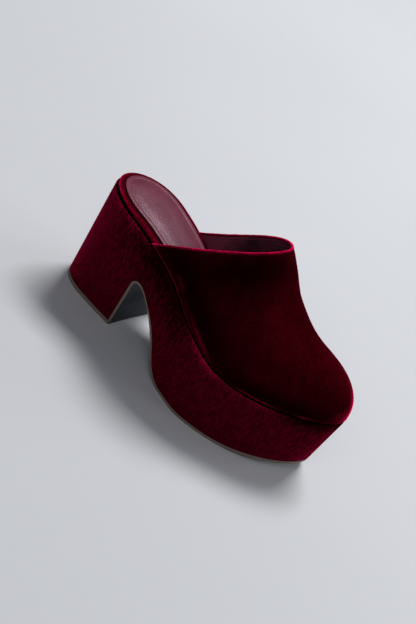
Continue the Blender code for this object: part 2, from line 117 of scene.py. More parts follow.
@dataclass(frozen=True)
class Last:
    """The last: the feather edge in plan and its height, which every piece follows."""
    length: float = 0.2459
    toe_swing: float = 0.0187
    swing_start: float = 0.36
    swing_power: float = 1.5
    heel_round: float = 0.16
    heel_power: float = 2.2
    outer_width: Curve = default((
        (0.00, 0.0303), (0.12, 0.0303), (0.22, 0.0306), (0.40, 0.0300), (0.53, 0.0393),
        (0.65, 0.0474), (0.72, 0.0477), (0.85, 0.0462), (1.00, 0.0427)))
    inner_width: Curve = default((
        (0.00, 0.0303), (0.12, 0.0303), (0.22, 0.0300), (0.40, 0.0281), (0.53, 0.0342),
        (0.65, 0.0393), (0.72, 0.0403), (0.85, 0.0393), (1.00, 0.0373)))
    outer_toe_start: float = 0.60
    outer_toe_power: float = 2.03
    inner_toe_start: float = 0.66
    inner_toe_power: float = 2.10
    bed: Curve = default((
        (0.00, 0.0892), (0.10, 0.0874), (0.22, 0.0829), (0.36, 0.0718), (0.50, 0.0573),
        (0.62, 0.0504), (0.72, 0.0475), (0.84, 0.0492), (1.00, 0.0559)))
    stations: int = 150
    middle_ends: float = 0.030
    end_share: float = 0.0003
    shift: tuple = (0.0, 0.0)

    def swing(self, x: np.ndarray) -> np.ndarray:
        """Sideways place of the last's middle line."""
        share = np.clip((x / self.length - self.swing_start) / (1 - self.swing_start), 0.0, 1.0)
        return self.toe_swing * share ** self.swing_power

    def edge(self, x: np.ndarray, side: Side) -> np.ndarray:
        """Sideways place of the feather edge.

        Args:
            x: places along the last.
            side: which side of the shoe.

        Returns:
            The places, in the last's frame.
        """
        outer = side is Side.OUTER
        half = (self.outer_width if outer else self.inner_width).at(x / self.length)
        behind = np.clip(1 - x / (self.heel_round * self.length), 0.0, 1.0)
        start = self.outer_toe_start if outer else self.inner_toe_start
        power = self.outer_toe_power if outer else self.inner_toe_power
        ahead = np.clip((x / self.length - start) / (1 - start), 0.0, 1.0)
        half = half * np.sqrt(1 - behind ** self.heel_power) * (1 - ahead ** power) ** (1 / power)
        return side.value * half + self.swing(x)

    def bed_height(self, x: np.ndarray) -> np.ndarray:
        """Height of the feather edge and of the sole's top."""
        return self.bed.at(np.clip(x / self.length, 0.0, 1.0))

    def above(self, points: np.ndarray) -> np.ndarray:
        """Heights of points above the feather edge."""
        return points[..., 2] - self.bed_height(points[..., 0])

    def loop(self, inset: np.ndarray | float = 0.0) -> np.ndarray:
        """The feather edge in plan: outer side from heel to toe, then back along the inner side.

        Args:
            inset: distance drawn in, one for all points or one for each.

        Returns:
            Points in plan, one row each.
        """
        x = self.length * (0.5 - 0.5 * np.cos(np.linspace(0.0, math.pi, self.stations)))
        outer = np.column_stack([x, self.edge(x, Side.OUTER)])
        inner = np.column_stack([x, self.edge(x, Side.INNER)])[-2:0:-1]
        line = np.concatenate([outer, inner])
        along = unit(np.roll(line, -1, axis=0) - np.roll(line, 1, axis=0))
        normal = np.column_stack([-along[:, 1], along[:, 0]])
        return line + normal * np.broadcast_to(np.asarray(inset, dtype=float), len(line))[:, None]

    def raised(self, inset: np.ndarray | float, lift: np.ndarray | float) -> np.ndarray:
        """The feather edge drawn in by an inset and raised above the sole's top."""
        line = self.loop(inset)
        return np.column_stack([line, self.bed_height(line[:, 0]) + lift])

    def middle(self, lift: float) -> np.ndarray:
        """The middle line, with a point for each point of the loop.

        Args:
            lift: how far it is raised above the sole's top.

        Returns:
            Points, one row each. Those next to the loop's two ends fall together.
        """
        ends = (self.end_share, 1 - self.end_share)
        share = np.interp(self.loop()[:, 0] / self.length, ends, (0.0, 1.0))
        x = self.middle_ends + (self.length - 2 * self.middle_ends) * share
        y = (self.edge(x, Side.OUTER) + self.edge(x, Side.INNER)) / 2
        return np.column_stack([x, y, self.bed_height(x) + lift])

    def placed(self, points: np.ndarray) -> np.ndarray:
        """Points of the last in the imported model's frame."""
        return points + np.array([self.shift[0], self.shift[1], 0.0])


def grid_piece(name: str, points: np.ndarray, marks: dict[str, np.ndarray] | None = None) -> bpy.types.Object:
    """A piece from a flat grid moved to a form's points and welded where they meet.

    Args:
        name: the piece's name.
        points: places by column and row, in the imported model's frame.
        marks: values by column and row to keep on the vertices, by attribute name.

    Returns:
        The object, linked to the scene, with its faces turned outwards.
    """
    columns, rows = points.shape[:2]
    bm = bmesh.new()
    layers = {key: bm.verts.layers.float.new(key) for key in (marks or {})}
    bmesh.ops.create_grid(bm, x_segments=columns - 1, y_segments=rows - 1, size=1.0)
    for vert in bm.verts:
        k = round((vert.co.x + 1) / 2 * (columns - 1))
        r = round((vert.co.y + 1) / 2 * (rows - 1))
        for key, layer in layers.items():
            vert[layer] = marks[key][k, r]
        vert.co = points[k, r]
    bmesh.ops.remove_doubles(bm, verts=bm.verts[:], dist=WELD)
    bmesh.ops.dissolve_degenerate(bm, edges=bm.edges[:], dist=WELD)
    bmesh.ops.recalc_face_normals(bm, faces=bm.faces[:])
    return mesh_piece(name, bm)


def mesh_piece(name: str, bm: bmesh.types.BMesh) -> bpy.types.Object:
    """An object from a bmesh, linked to the scene.

    Args:
        name: the object's name.
        bm: the form, which is freed.

    Returns:
        The object, shaded smooth.
    """
    mesh = bpy.data.meshes.new(name)
    bm.to_mesh(mesh)
    bm.free()
    mesh.shade_smooth()
    made = bpy.data.objects.new(name, mesh)
    bpy.context.scene.collection.objects.link(made)
    return made


class Rings:
    """Rings of a loft from its first cap to its last, with the marks that its finish reads.

    fold marks a painted highlight on the pile, shade marks painted shade in crevices and patches, border a
    paler leather edge.
    """
    MARKS = ("fold", "shade", "border")

    def __init__(self) -> None:
        """Start with no rings."""
        self.points: list = []
        self.marks: dict[str, list] = {key: [] for key in self.MARKS}

    def add(self, ring: np.ndarray, **marks: np.ndarray | float) -> None:
        """Add a ring.

        Args:
            ring: its points, one row each.
            marks: its marks by name, each given once or for every point.
        """
        self.points.append(ring)
        for key, rows in self.marks.items():
            rows.append(np.broadcast_to(np.asarray(marks.get(key, 0.0), dtype=float), len(ring)))

    def piece(self, name: str, last: Last) -> bpy.types.Object:
        """The loft as a piece, closed round.

        Args:
            name: the piece's name.
            last: the last that it is placed on.

        Returns:
            The piece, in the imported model's frame.
        """
        wrap = [*range(len(self.points[0])), 0]
        points = np.stack(self.points, axis=1)[wrap]
        marks = {key: np.stack(rows, axis=1)[wrap] for key, rows in self.marks.items()}
        return grid_piece(name, last.placed(points), marks)


class Cut(Enum):
    """What a cutter does to a piece, by the modifier's own names."""
    AWAY = "DIFFERENCE"
    KEEP = "INTERSECT"


def carve(piece: bpy.types.Object, cutter: bpy.types.Object, cut: Cut) -> None:
    """Cut a piece and keep the result as its mesh.

    Args:
        piece: the piece to cut.
        cutter: the cutter, which is dropped.
        cut: whether the cutter's inside is taken away or kept.
    """
    modifier = piece.modifiers.new("carve", "BOOLEAN")
    modifier.operation = cut.value
    modifier.solver = "EXACT"
    modifier.object = cutter
    graph = bpy.context.evaluated_depsgraph_get()
    mesh = bpy.data.meshes.new_from_object(piece.evaluated_get(graph))
    piece.modifiers.clear()
    piece.data = mesh
    bpy.data.objects.remove(cutter, do_unlink=True)


def ruffle(piece: bpy.types.Object, depth: float, pitch: float) -> None:
    """Move a piece's points in and out by a fine noise, as the tips of a pile do, most where the fold mark is
    set.

    Args:
        piece: the piece to change.
        depth: largest move along the normal where the pile lies flat.
        pitch: size of the noise.
    """
    fold = piece.data.attributes["fold"].data
    for vert in piece.data.vertices:
        loose = depth * (1 + OPEN_PILE * fold[vert.index].value)
        vert.co += vert.normal * (loose * noise.noise(vert.co / pitch))


class NodeTree:
    """Adds and links nodes in one shader node tree.

    A Mix node has a socket of each data type, so those for colours are told apart by number.
    """
    MIX_SHARE = 0
    MIX_FIRST = 6
    MIX_SECOND = 7
    MIX_COLOUR = 2

    def __init__(self, tree: bpy.types.NodeTree) -> None:
        """Start on an empty or new tree."""
        self.tree = tree

    def feed(self, socket: bpy.types.NodeSocket, value: object) -> None:
        """Link an input to an output, or set its value.

        Args:
            socket: the input socket.
            value: an output socket or a plain value.
        """
        if isinstance(value, bpy.types.NodeSocket):
            self.tree.links.new(value, socket)
        else:
            socket.default_value = value

    def add(self, kind: str, inputs: dict | None = None, **settings: object) -> bpy.types.Node:
        """Add a node.

        Args:
            kind: the node's type name after ShaderNode.
            inputs: a value or an output socket for each named or numbered input.
            settings: the node's own properties.

        Returns:
            The new node.
        """
        node = self.tree.nodes.new("ShaderNode" + kind)
        for key, value in settings.items():
            setattr(node, key, value)
        for key, value in (inputs or {}).items():
            self.feed(node.inputs[key], value)
        return node

    def math(self, operation: str, first: object, second: object = 0.0) -> bpy.types.NodeSocket:
        """The result of a Math node."""
        return self.add("Math", {0: first, 1: second}, operation=operation).outputs[0]

    def ramp(self, value: object, low: float, high: float, to_low: float = 0.0,
             to_high: float = 1.0) -> bpy.types.NodeSocket:
        """A value mapped smoothly and held between two limits.

        Args:
            value: an output socket or a plain value.
            low: where the map starts.
            high: where it ends.
            to_low: the result up to low.
            to_high: the result from high on.

        Returns:
            The result's socket.
        """
        node = self.add("MapRange", {0: value, 1: low, 2: high, 3: to_low, 4: to_high},
                        interpolation_type="SMOOTHSTEP")
        return node.outputs[0]

    def line(self, value: object, low: float, high: float) -> bpy.types.NodeSocket:
        """A value mapped evenly from 0 at low to 1 at high and held there."""
        return self.add("MapRange", {0: value, 1: low, 2: high}).outputs[0]

    def mark(self, name: str) -> bpy.types.NodeSocket:
        """A mark kept on the vertices."""
        return self.add("Attribute", attribute_name=name).outputs["Fac"]

    def shaded(self, colour: object, level: object) -> bpy.types.NodeSocket:
        """A colour darkened by a level."""
        grey = self.add("CombineColor", {0: level, 1: level, 2: level}).outputs[0]
        return self.mix(1.0, colour, grey, "MULTIPLY")

    def mix(self, share: object, first: object, second: object, blend: str = "MIX") -> bpy.types.NodeSocket:
        """A mix of two colours.

        Args:
            share: share of the second colour.
            first: a colour or its socket.
            second: a colour or its socket.
            blend: how the second is laid on the first.

        Returns:
            The mixed colour's socket.
        """
        first, second = [(*c, 1.0) if isinstance(c, tuple) else c for c in (first, second)]
        inputs = {self.MIX_SHARE: share, self.MIX_FIRST: first, self.MIX_SECOND: second}
        return self.add("Mix", inputs, data_type="RGBA", blend_type=blend).outputs[self.MIX_COLOUR]

    def bump(self, strength: float, distance: float, height: bpy.types.NodeSocket) -> bpy.types.NodeSocket:
        """A normal with bumps of a height."""
        return self.add("Bump", {"Strength": strength, "Distance": distance, "Height": height}).outputs[0]


class Effects:
    """Node groups that several finishes share, each built once.

    The contrasts are the noise values that become 0 and 1.
    """
    NAP_TURN = (0.0, 0.6, 0.2)
    NAP_STRETCH = (1.0, 1.0, 0.45)
    WANDER = 0.006
    WANDER_SCALE = 35.0
    PATCH_CONTRAST = (0.34, 0.68)
    FIBRE_CONTRAST = (0.30, 0.72)
    PORE_CONTRAST = (0.0, 0.22)
    TONE_SCALE = 60.0
    TONE_CONTRAST = (0.32, 0.68)
    LINE_AXES = ((-0.53, 0.18, 0.83), (0.04, -0.014, 0.03))
    LINE_CONTRAST = (0.40, 0.62)
    SPECK_CONTRAST = (0.33, 0.67)

    @staticmethod
    def group(name: str, inputs: dict[str, float], outputs: tuple) -> tuple:
        """A new group with named value sockets.

        Args:
            name: the group's name.
            inputs: default value of each input.
            outputs: names of the outputs.

        Returns:
            The group, its tree builder, its input node and its output node.
        """
        group = bpy.data.node_groups.new(name, "ShaderNodeTree")
        for key, value in inputs.items():
            socket = group.interface.new_socket(key, in_out="INPUT", socket_type="NodeSocketFloat")
            socket.default_value = value
        for key in outputs:
            group.interface.new_socket(key, in_out="OUTPUT", socket_type="NodeSocketFloat")
        tree = NodeTree(group)
        return group, tree, group.nodes.new("NodeGroupInput"), group.nodes.new("NodeGroupOutput")

    @classmethod
    def nap(cls) -> bpy.types.NodeTree:
        """Velvet pile: brushed patches, fine fibres and the height of both.

        Returns:
            The node group, built on first use.
        """
        name = "velvet_nap"
        if name in bpy.data.node_groups:
            return bpy.data.node_groups[name]
        group, tree, given, out = cls.group(
            name, {"Patch Scale": 90.0, "Fibre Scale": 900.0, "Brush": 0.4}, ("Patch", "Fibre", "Height"))
        place = tree.add("TexCoord").outputs["Object"]
        slant = tree.add("Mapping", {"Vector": place, "Rotation": cls.NAP_TURN, "Scale": cls.NAP_STRETCH})
        warp = tree.add("TexNoise", {"Vector": place, "Scale": cls.WANDER_SCALE, "Detail": 2.0})
        wander = tree.add("VectorMath", {0: warp.outputs["Color"], "Scale": cls.WANDER}, operation="SCALE")
        shifted = tree.add("VectorMath", {0: slant.outputs[0], 1: wander.outputs[0]}, operation="ADD")
        patch = tree.add("TexNoise", {"Vector": shifted.outputs[0], "Scale": given.outputs["Patch Scale"],
                                      "Detail": 4.0, "Roughness": 0.62})
        fibre = tree.add("TexNoise", {"Vector": place, "Scale": given.outputs["Fibre Scale"], "Detail": 3.0,
                                      "Roughness": 0.7})
        patches = tree.ramp(patch.outputs[0], *cls.PATCH_CONTRAST)
        fibres = tree.ramp(fibre.outputs[0], *cls.FIBRE_CONTRAST)
        lean = tree.math("MULTIPLY", patches, given.outputs["Brush"])
        tips = tree.math("SUBTRACT", 1.0, given.outputs["Brush"])
        height = tree.math("ADD", lean, tree.math("MULTIPLY", fibres, tips))
        for key, socket in (("Patch", patches), ("Fibre", fibres), ("Height", height)):
            tree.feed(out.inputs[key], socket)
        return group

    @classmethod
    def grain(cls) -> bpy.types.NodeTree:
        """Smooth leather: pores, faint cloudy tone and drawn lines along the shoe.

        Returns:
            The node group, built on first use.
        """
        name = "leather_grain"
        if name in bpy.data.node_groups:
            return bpy.data.node_groups[name]
        group, tree, given, out = cls.group(
            name, {"Pore Scale": 1400.0, "Line Scale": 700.0}, ("Pore", "Tone", "Line"))
        place = tree.add("TexCoord").outputs["Object"]
        pore = tree.add("TexVoronoi", {"Vector": place, "Scale": given.outputs["Pore Scale"]},
                        feature="DISTANCE_TO_EDGE")
        tone = tree.add("TexNoise", {"Vector": place, "Scale": cls.TONE_SCALE, "Detail": 4.0,
                                     "Roughness": 0.6})
        spread = [tree.add("VectorMath", {0: place, 1: axis}, operation="DOT_PRODUCT").outputs["Value"]
                  for axis in cls.LINE_AXES]
        drawn = tree.add("CombineXYZ", {0: spread[0], 1: spread[1]})
        line = tree.add("TexNoise", {"Vector": drawn.outputs[0], "Scale": given.outputs["Line Scale"],
                                     "Detail": 2.0})
        for key, texture, contrast in (("Pore", pore, cls.PORE_CONTRAST), ("Tone", tone, cls.TONE_CONTRAST),
                                       ("Line", line, cls.LINE_CONTRAST)):
            tree.feed(out.inputs[key], tree.ramp(texture.outputs[0], *contrast))
        return group

    @classmethod
    def speckle(cls) -> bpy.types.NodeTree:
        """Moulded rubber and paint: small specks and soft cloudy wear.

        Returns:
            The node group, built on first use.
        """
        name = "rubber_speckle"
        if name in bpy.data.node_groups:
            return bpy.data.node_groups[name]
        group, tree, given, out = cls.group(
            name, {"Speck Scale": 1500.0, "Cloud Scale": 45.0}, ("Speck", "Cloud"))
        place = tree.add("TexCoord").outputs["Object"]
        for key, scale in (("Speck", "Speck Scale"), ("Cloud", "Cloud Scale")):
            texture = tree.add("TexNoise", {"Vector": place, "Scale": given.outputs[scale], "Detail": 4.0})
            tree.feed(out.inputs[key], tree.ramp(texture.outputs[0], *cls.SPECK_CONTRAST))
        return group


def new_material(name: str) -> tuple:
    """A node material.

    Args:
        name: the material's name.

    Returns:
        The material, its tree builder and its Principled shader.
    """
    material = bpy.data.materials.new(name)
    material.use_nodes = True
    return material, NodeTree(material.node_tree), material.node_tree.nodes["Principled BSDF"]


def group_node(tree: NodeTree, group: bpy.types.NodeTree, values: dict[str, float]) -> bpy.types.Node:
    """A shared effect in a material.

    Args:
        tree: the material's tree builder.
        group: the effect.
        values: its own values, by input.

    Returns:
        The effect's node.
    """
    node = tree.tree.nodes.new("ShaderNodeGroup")
    node.node_tree = group
    for key, value in values.items():
        node.inputs[key].default_value = value
    return node


@dataclass(frozen=True)
class Velvet:
    """Cut-pile velvet: dark face on, brushed patches, and a sheen painted into the base colour at grazing
    angles.

    The values named bloom_*, edge_* and toe_sheen_* set how much sheen is painted as the surface turns from
    the
    camera: all over, close to the outline, and where the toe_sheen mark is set. fold is the colour
    of the painted highlights, in uneven tufts, and the shade mark paints shade, mottled by the patches.
    """
    name: str
    deep: tuple = (0.029, 0.0003, 0.0018)
    brushed: tuple = (0.040, 0.0004, 0.0027)
    painted_bloom: tuple = (0.50, 0.003, 0.045)
    fold: tuple = (0.95, 0.004, 0.095)
    sheen: tuple = (1.0, 0.004, 0.10)
    sheen_weight: float = 0.05
    sheen_roughness: float = 0.35
    patch_scale: float = 120.0
    fibre_scale: float = 900.0
    brush: float = 0.4
    bloom_start: float = 0.28
    bloom_power: float = 1.6
    bloom_share: float = 0.045
    edge_start: float = 0.79
    edge_power: float = 2.0
    edge_share: float = 0.72
    # Painted sheen low on the toe, where the toe_sheen mark is set.
    toe_sheen_start: float = 0.48
    toe_sheen_power: float = 1.5
    toe_sheen_share: float = 1.25
    fibre_range: tuple = (0.1, 0.9)
    light_range: tuple = (0.0, 0.8)
    ragged: tuple = (0.55, 1.15)
    fibre_light: tuple = (0.60, 1.15)
    tuft_fibre: tuple = (0.35, 1.50)
    tuft_patch: tuple = (0.84, 1.16)
    mottle: tuple = (1.0, 1.0)
    dullness: tuple = (1.0, 0.85)
    lean_start: float = 0.45
    lean_up: float = 1.05
    pile_height: float = 0.0004
    bump: float = 0.30

    def tone(self, tree: NodeTree, nap: bpy.types.Node) -> bpy.types.NodeSocket:
        """The pile's colour, with painted sheen, painted highlights and painted shade.

        Args:
            tree: the material's tree builder.
            nap: the nap effect's node.

        Returns:
            The colour's socket.
        """
        patch = nap.outputs["Patch"]
        fibre = nap.outputs["Fibre"]
        grazing = tree.add("LayerWeight", {"Blend": 0.5}).outputs["Facing"]

        def turned(start: float, power: float, share: object) -> bpy.types.NodeSocket:
            """How far the pile is turned away beyond a start, by a power and a share."""
            return tree.math("MULTIPLY", tree.math("POWER", tree.line(grazing, start, 1.0), power), share)

        # Painted sheen: the base colour turns towards painted_bloom as the surface turns from the camera.
        painted_bloom = tree.math("ADD", turned(self.bloom_start, self.bloom_power, self.bloom_share),
                          turned(self.edge_start, self.edge_power, self.edge_share))
        painted_bloom = tree.math("MULTIPLY", painted_bloom, tree.ramp(fibre, *self.fibre_range, *self.ragged))
        tone = tree.mix(painted_bloom, tree.mix(patch, self.deep, self.brushed), self.painted_bloom)
        tone = tree.shaded(tone, tree.ramp(fibre, *self.light_range, *self.fibre_light))
        # Painted highlight from the fold mark, plus painted sheen low on the toe, in uneven tufts.
        tufted = tree.math("MULTIPLY", tree.ramp(fibre, *self.fibre_range, *self.tuft_fibre),
                           tree.ramp(patch, 0.0, 1.0, *self.tuft_patch))
        toe_sheen_level = tree.math("MULTIPLY", tree.mark("toe_sheen"), self.toe_sheen_share)
        highlight_level = tree.math("ADD", tree.mark("fold"), turned(self.toe_sheen_start, self.toe_sheen_power, toe_sheen_level))
        tone = tree.mix(tree.math("MULTIPLY", highlight_level, tufted), tone, self.fold)
        # Painted shade from the shade mark, mottled by the patches.
        dark = tree.math("POWER", tree.mark("shade"), tree.ramp(patch, 0.0, 1.0, *self.mottle))
        return tree.shaded(tone, tree.math("SUBTRACT", 1.0, dark))

    def normal(self, tree: NodeTree, nap: bpy.types.Node) -> bpy.types.NodeSocket:
        """The pile's normal, leaned up where the fold mark is set, so that those parts face the lamps more.

        Args:
            tree: the material's tree builder.
            nap: the nap effect's node.

        Returns:
            The normal's socket.
        """
        up = tree.ramp(tree.mark("fold"), self.lean_start, 1.0, 0.0, self.lean_up)
        lean = tree.add("CombineXYZ", {2: up})
        lean = tree.add("VectorMath", {0: tree.add("NewGeometry").outputs["Normal"], 1: lean.outputs[0]})
        lean = tree.add("VectorMath", {0: lean.outputs[0]}, operation="NORMALIZE")
        bump = tree.bump(self.bump, self.pile_height, nap.outputs["Height"])
        tree.feed(bump.node.inputs["Normal"], lean.outputs[0])
        return bump

    def material(self) -> bpy.types.Material:
        """The finish.

        Returns:
            A node material.
        """
        material, tree, shader = new_material(self.name)
        nap = group_node(tree, Effects.nap(), {
            "Patch Scale": self.patch_scale, "Fibre Scale": self.fibre_scale, "Brush": self.brush})
        tree.feed(shader.inputs["Base Color"], self.tone(tree, nap))
        tree.feed(shader.inputs["Roughness"], tree.ramp(nap.outputs["Fibre"], 0.0, 1.0, *self.dullness))
        tree.feed(shader.inputs["Normal"], self.normal(tree, nap))
        shader.inputs["Specular IOR Level"].default_value = 0.0
        shader.inputs["Sheen Weight"].default_value = self.sheen_weight
        shader.inputs["Sheen Roughness"].default_value = self.sheen_roughness
        shader.inputs["Sheen Tint"].default_value = (*self.sheen, 1.0)
        return material


@dataclass(frozen=True)
class Leather:
    """Smooth dyed leather with fine pores, a cloudy tone and a paler border where the border mark is set."""
    name: str
    colour: tuple
    pale: tuple
    roughness: float = 0.38
    gloss: float = 0.5
    gloss_tint: tuple = (1.0, 1.0, 1.0)
    pore_scale: float = 1400.0
    pore_depth: float = 0.0003
    pore_dullness: float = 0.18
    cloud_share: float = 0.28
    line_share: float = 0.0
    border_share: float = 0.35
    bump: float = 0.12

    def material(self) -> bpy.types.Material:
        """The finish.

        Returns:
            A node material.
        """
        material, tree, shader = new_material(self.name)
        grain = group_node(tree, Effects.grain(), {"Pore Scale": self.pore_scale})
        pore = grain.outputs["Pore"]
        cloud = tree.ramp(grain.outputs["Tone"], 0.0, 1.0, 0.0, self.cloud_share)
        lines = tree.math("MULTIPLY", grain.outputs["Line"], self.line_share)
        border = tree.math("MULTIPLY", tree.mark("border"), self.border_share)
        share = tree.math("ADD", tree.math("ADD", cloud, lines), border)
        dull = tree.ramp(pore, 0.0, 1.0, self.roughness + self.pore_dullness, self.roughness)
        tree.feed(shader.inputs["Base Color"], tree.mix(share, self.colour, self.pale))
        tree.feed(shader.inputs["Roughness"], dull)
        tree.feed(shader.inputs["Normal"], tree.bump(self.bump, self.pore_depth, pore))
        shader.inputs["Specular IOR Level"].default_value = self.gloss
        shader.inputs["Specular Tint"].default_value = (*self.gloss_tint, 1.0)
        return material


@dataclass(frozen=True)
class Rubber:
    """Matte moulded rubber with small specks and cloudy wear."""
    name: str
    colour: tuple
    paled: tuple
    wear: tuple = (0.35, 0.9)
    roughness: float = 0.62
    wear_dullness: float = 0.2
    gloss: float = 0.3
    speck_depth: float = 0.0002
    bump: float = 0.15

    def material(self) -> bpy.types.Material:
        """The finish.

        Returns:
            A node material.
        """
        material, tree, shader = new_material(self.name)
        speckle = group_node(tree, Effects.speckle(), {})
        speck = speckle.outputs["Speck"]
        cloud = speckle.outputs["Cloud"]
        share = tree.math("MULTIPLY", speck, tree.ramp(cloud, 0.0, 1.0, *self.wear))
        dull = tree.ramp(cloud, 0.0, 1.0, self.roughness, self.roughness + self.wear_dullness)
        tree.feed(shader.inputs["Base Color"], tree.mix(share, self.colour, self.paled))
        tree.feed(shader.inputs["Roughness"], dull)
        tree.feed(shader.inputs["Normal"], tree.bump(self.bump, self.speck_depth, speck))
        shader.inputs["Specular IOR Level"].default_value = self.gloss
        return material


@dataclass(frozen=True)
class Thread:
    """Twisted sewing thread."""
    name: str
    colour: tuple
    lit: tuple
    fibre_scale: float = 2600.0
    roughness: float = 0.6
    gloss: float = 0.1
    fibre_depth: float = 0.0001
    bump: float = 0.4

    def material(self) -> bpy.types.Material:
        """The finish.

        Returns:
            A node material.
        """
        material, tree, shader = new_material(self.name)
        speck = group_node(tree, Effects.speckle(), {"Speck Scale": self.fibre_scale}).outputs["Speck"]
        tree.feed(shader.inputs["Base Color"], tree.mix(speck, self.colour, self.lit))
        tree.feed(shader.inputs["Normal"], tree.bump(self.bump, self.fibre_depth, speck))
        shader.inputs["Roughness"].default_value = self.roughness
        shader.inputs["Specular IOR Level"].default_value = self.gloss
        return material


UPPER_VELVET = Velvet("upper_velvet_pile")
# SOLE_VELVET's much larger bloom_share paints a strong sheen onto the sole's walls.
SOLE_VELVET = Velvet("sole_velvet_pile", deep=(0.044, 0.0003, 0.0046), brushed=(0.085, 0.0006, 0.0093),
                     painted_bloom=(0.46, 0.003, 0.052), patch_scale=400.0, brush=0.5, bloom_start=0.20,
                     bloom_share=0.80, edge_share=0.2, mottle=(0.62, 1.6))
RIM_VELVET = Velvet("rim_velvet_pile", deep=(0.060, 0.0005, 0.0046), brushed=(0.108, 0.0008, 0.0084),
                    patch_scale=300.0)
SOCK_LEATHER = Leather("sock_leather", colour=(0.104, 0.016, 0.032), pale=(0.18, 0.040, 0.070),
                       roughness=0.25, gloss=0.16, gloss_tint=(1.0, 0.84, 1.0), border_share=0.11)
LINING_LEATHER = Leather("lining_leather", colour=(0.018, 0.0026, 0.0066), pale=(0.17, 0.029, 0.058),
                         roughness=0.62, gloss=0.16, line_share=0.17, border_share=0.9)
SOCK_THREAD = Thread("sock_thread", colour=(0.045, 0.009, 0.017), lit=(0.100, 0.026, 0.044))
EDGE_RUBBER = Rubber("edge_rubber", colour=(0.15, 0.108, 0.085), paled=(0.21, 0.155, 0.125))
# A dark bluish copy of the same rubber: painted shade, with a painted reflection of blue surroundings, for
# faces under the tread and on the heel's breast.
SHADED_RUBBER = Rubber("rubber_painted_shade", colour=(0.015, 0.018, 0.026), paled=(0.028, 0.032, 0.043))


def finish_piece(piece: bpy.types.Object, materials: list, nodes: tuple = ()) -> None:
    """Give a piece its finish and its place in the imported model.

    Args:
        piece: the finished piece.
        materials: its materials, in slot order.
        nodes: the CAD nodes that it stands for.
    """
    for material in materials:
        piece.data.materials.append(material)
    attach(piece, BODY)
    if nodes:
        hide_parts(*nodes)
    piece.data.calc_loop_triangles()
    LOG.info("%s: %d triangles", piece.name, len(piece.data.loop_triangles))


@dataclass(frozen=True)
class ShadePatch:
    """A broad soft patch of painted shade that darkens the pile nearly to black.

    at places its middle along the last and up its distance from an edge of the cloth; along and tall are its
    half sizes and depth is its darkness.
    """
    at: float
    up: float
    along: float
    tall: float
    depth: float

    def shape(self, x: np.ndarray, up: np.ndarray) -> np.ndarray:
        """Its darkness at places along the last and upwards."""
        return self.depth * np.exp(-((x - self.at) / self.along) ** 4 - ((up - self.up) / self.tall) ** 2)


def painted_shade(shade_patches: tuple, x: np.ndarray, up: np.ndarray) -> np.ndarray:
    """How dark the pile is painted under patches of painted shade.

    Args:
        shade_patches: the patches of painted shade.
        x: places along the last.
        up: distances from the cloth's edge.

    Returns:
        Darkness from 0 to 1.
    """
    left = np.ones_like(x)
    for shade_patch in shade_patches:
        left = left * (1 - shade_patch.shape(x, up))
    return 1 - left


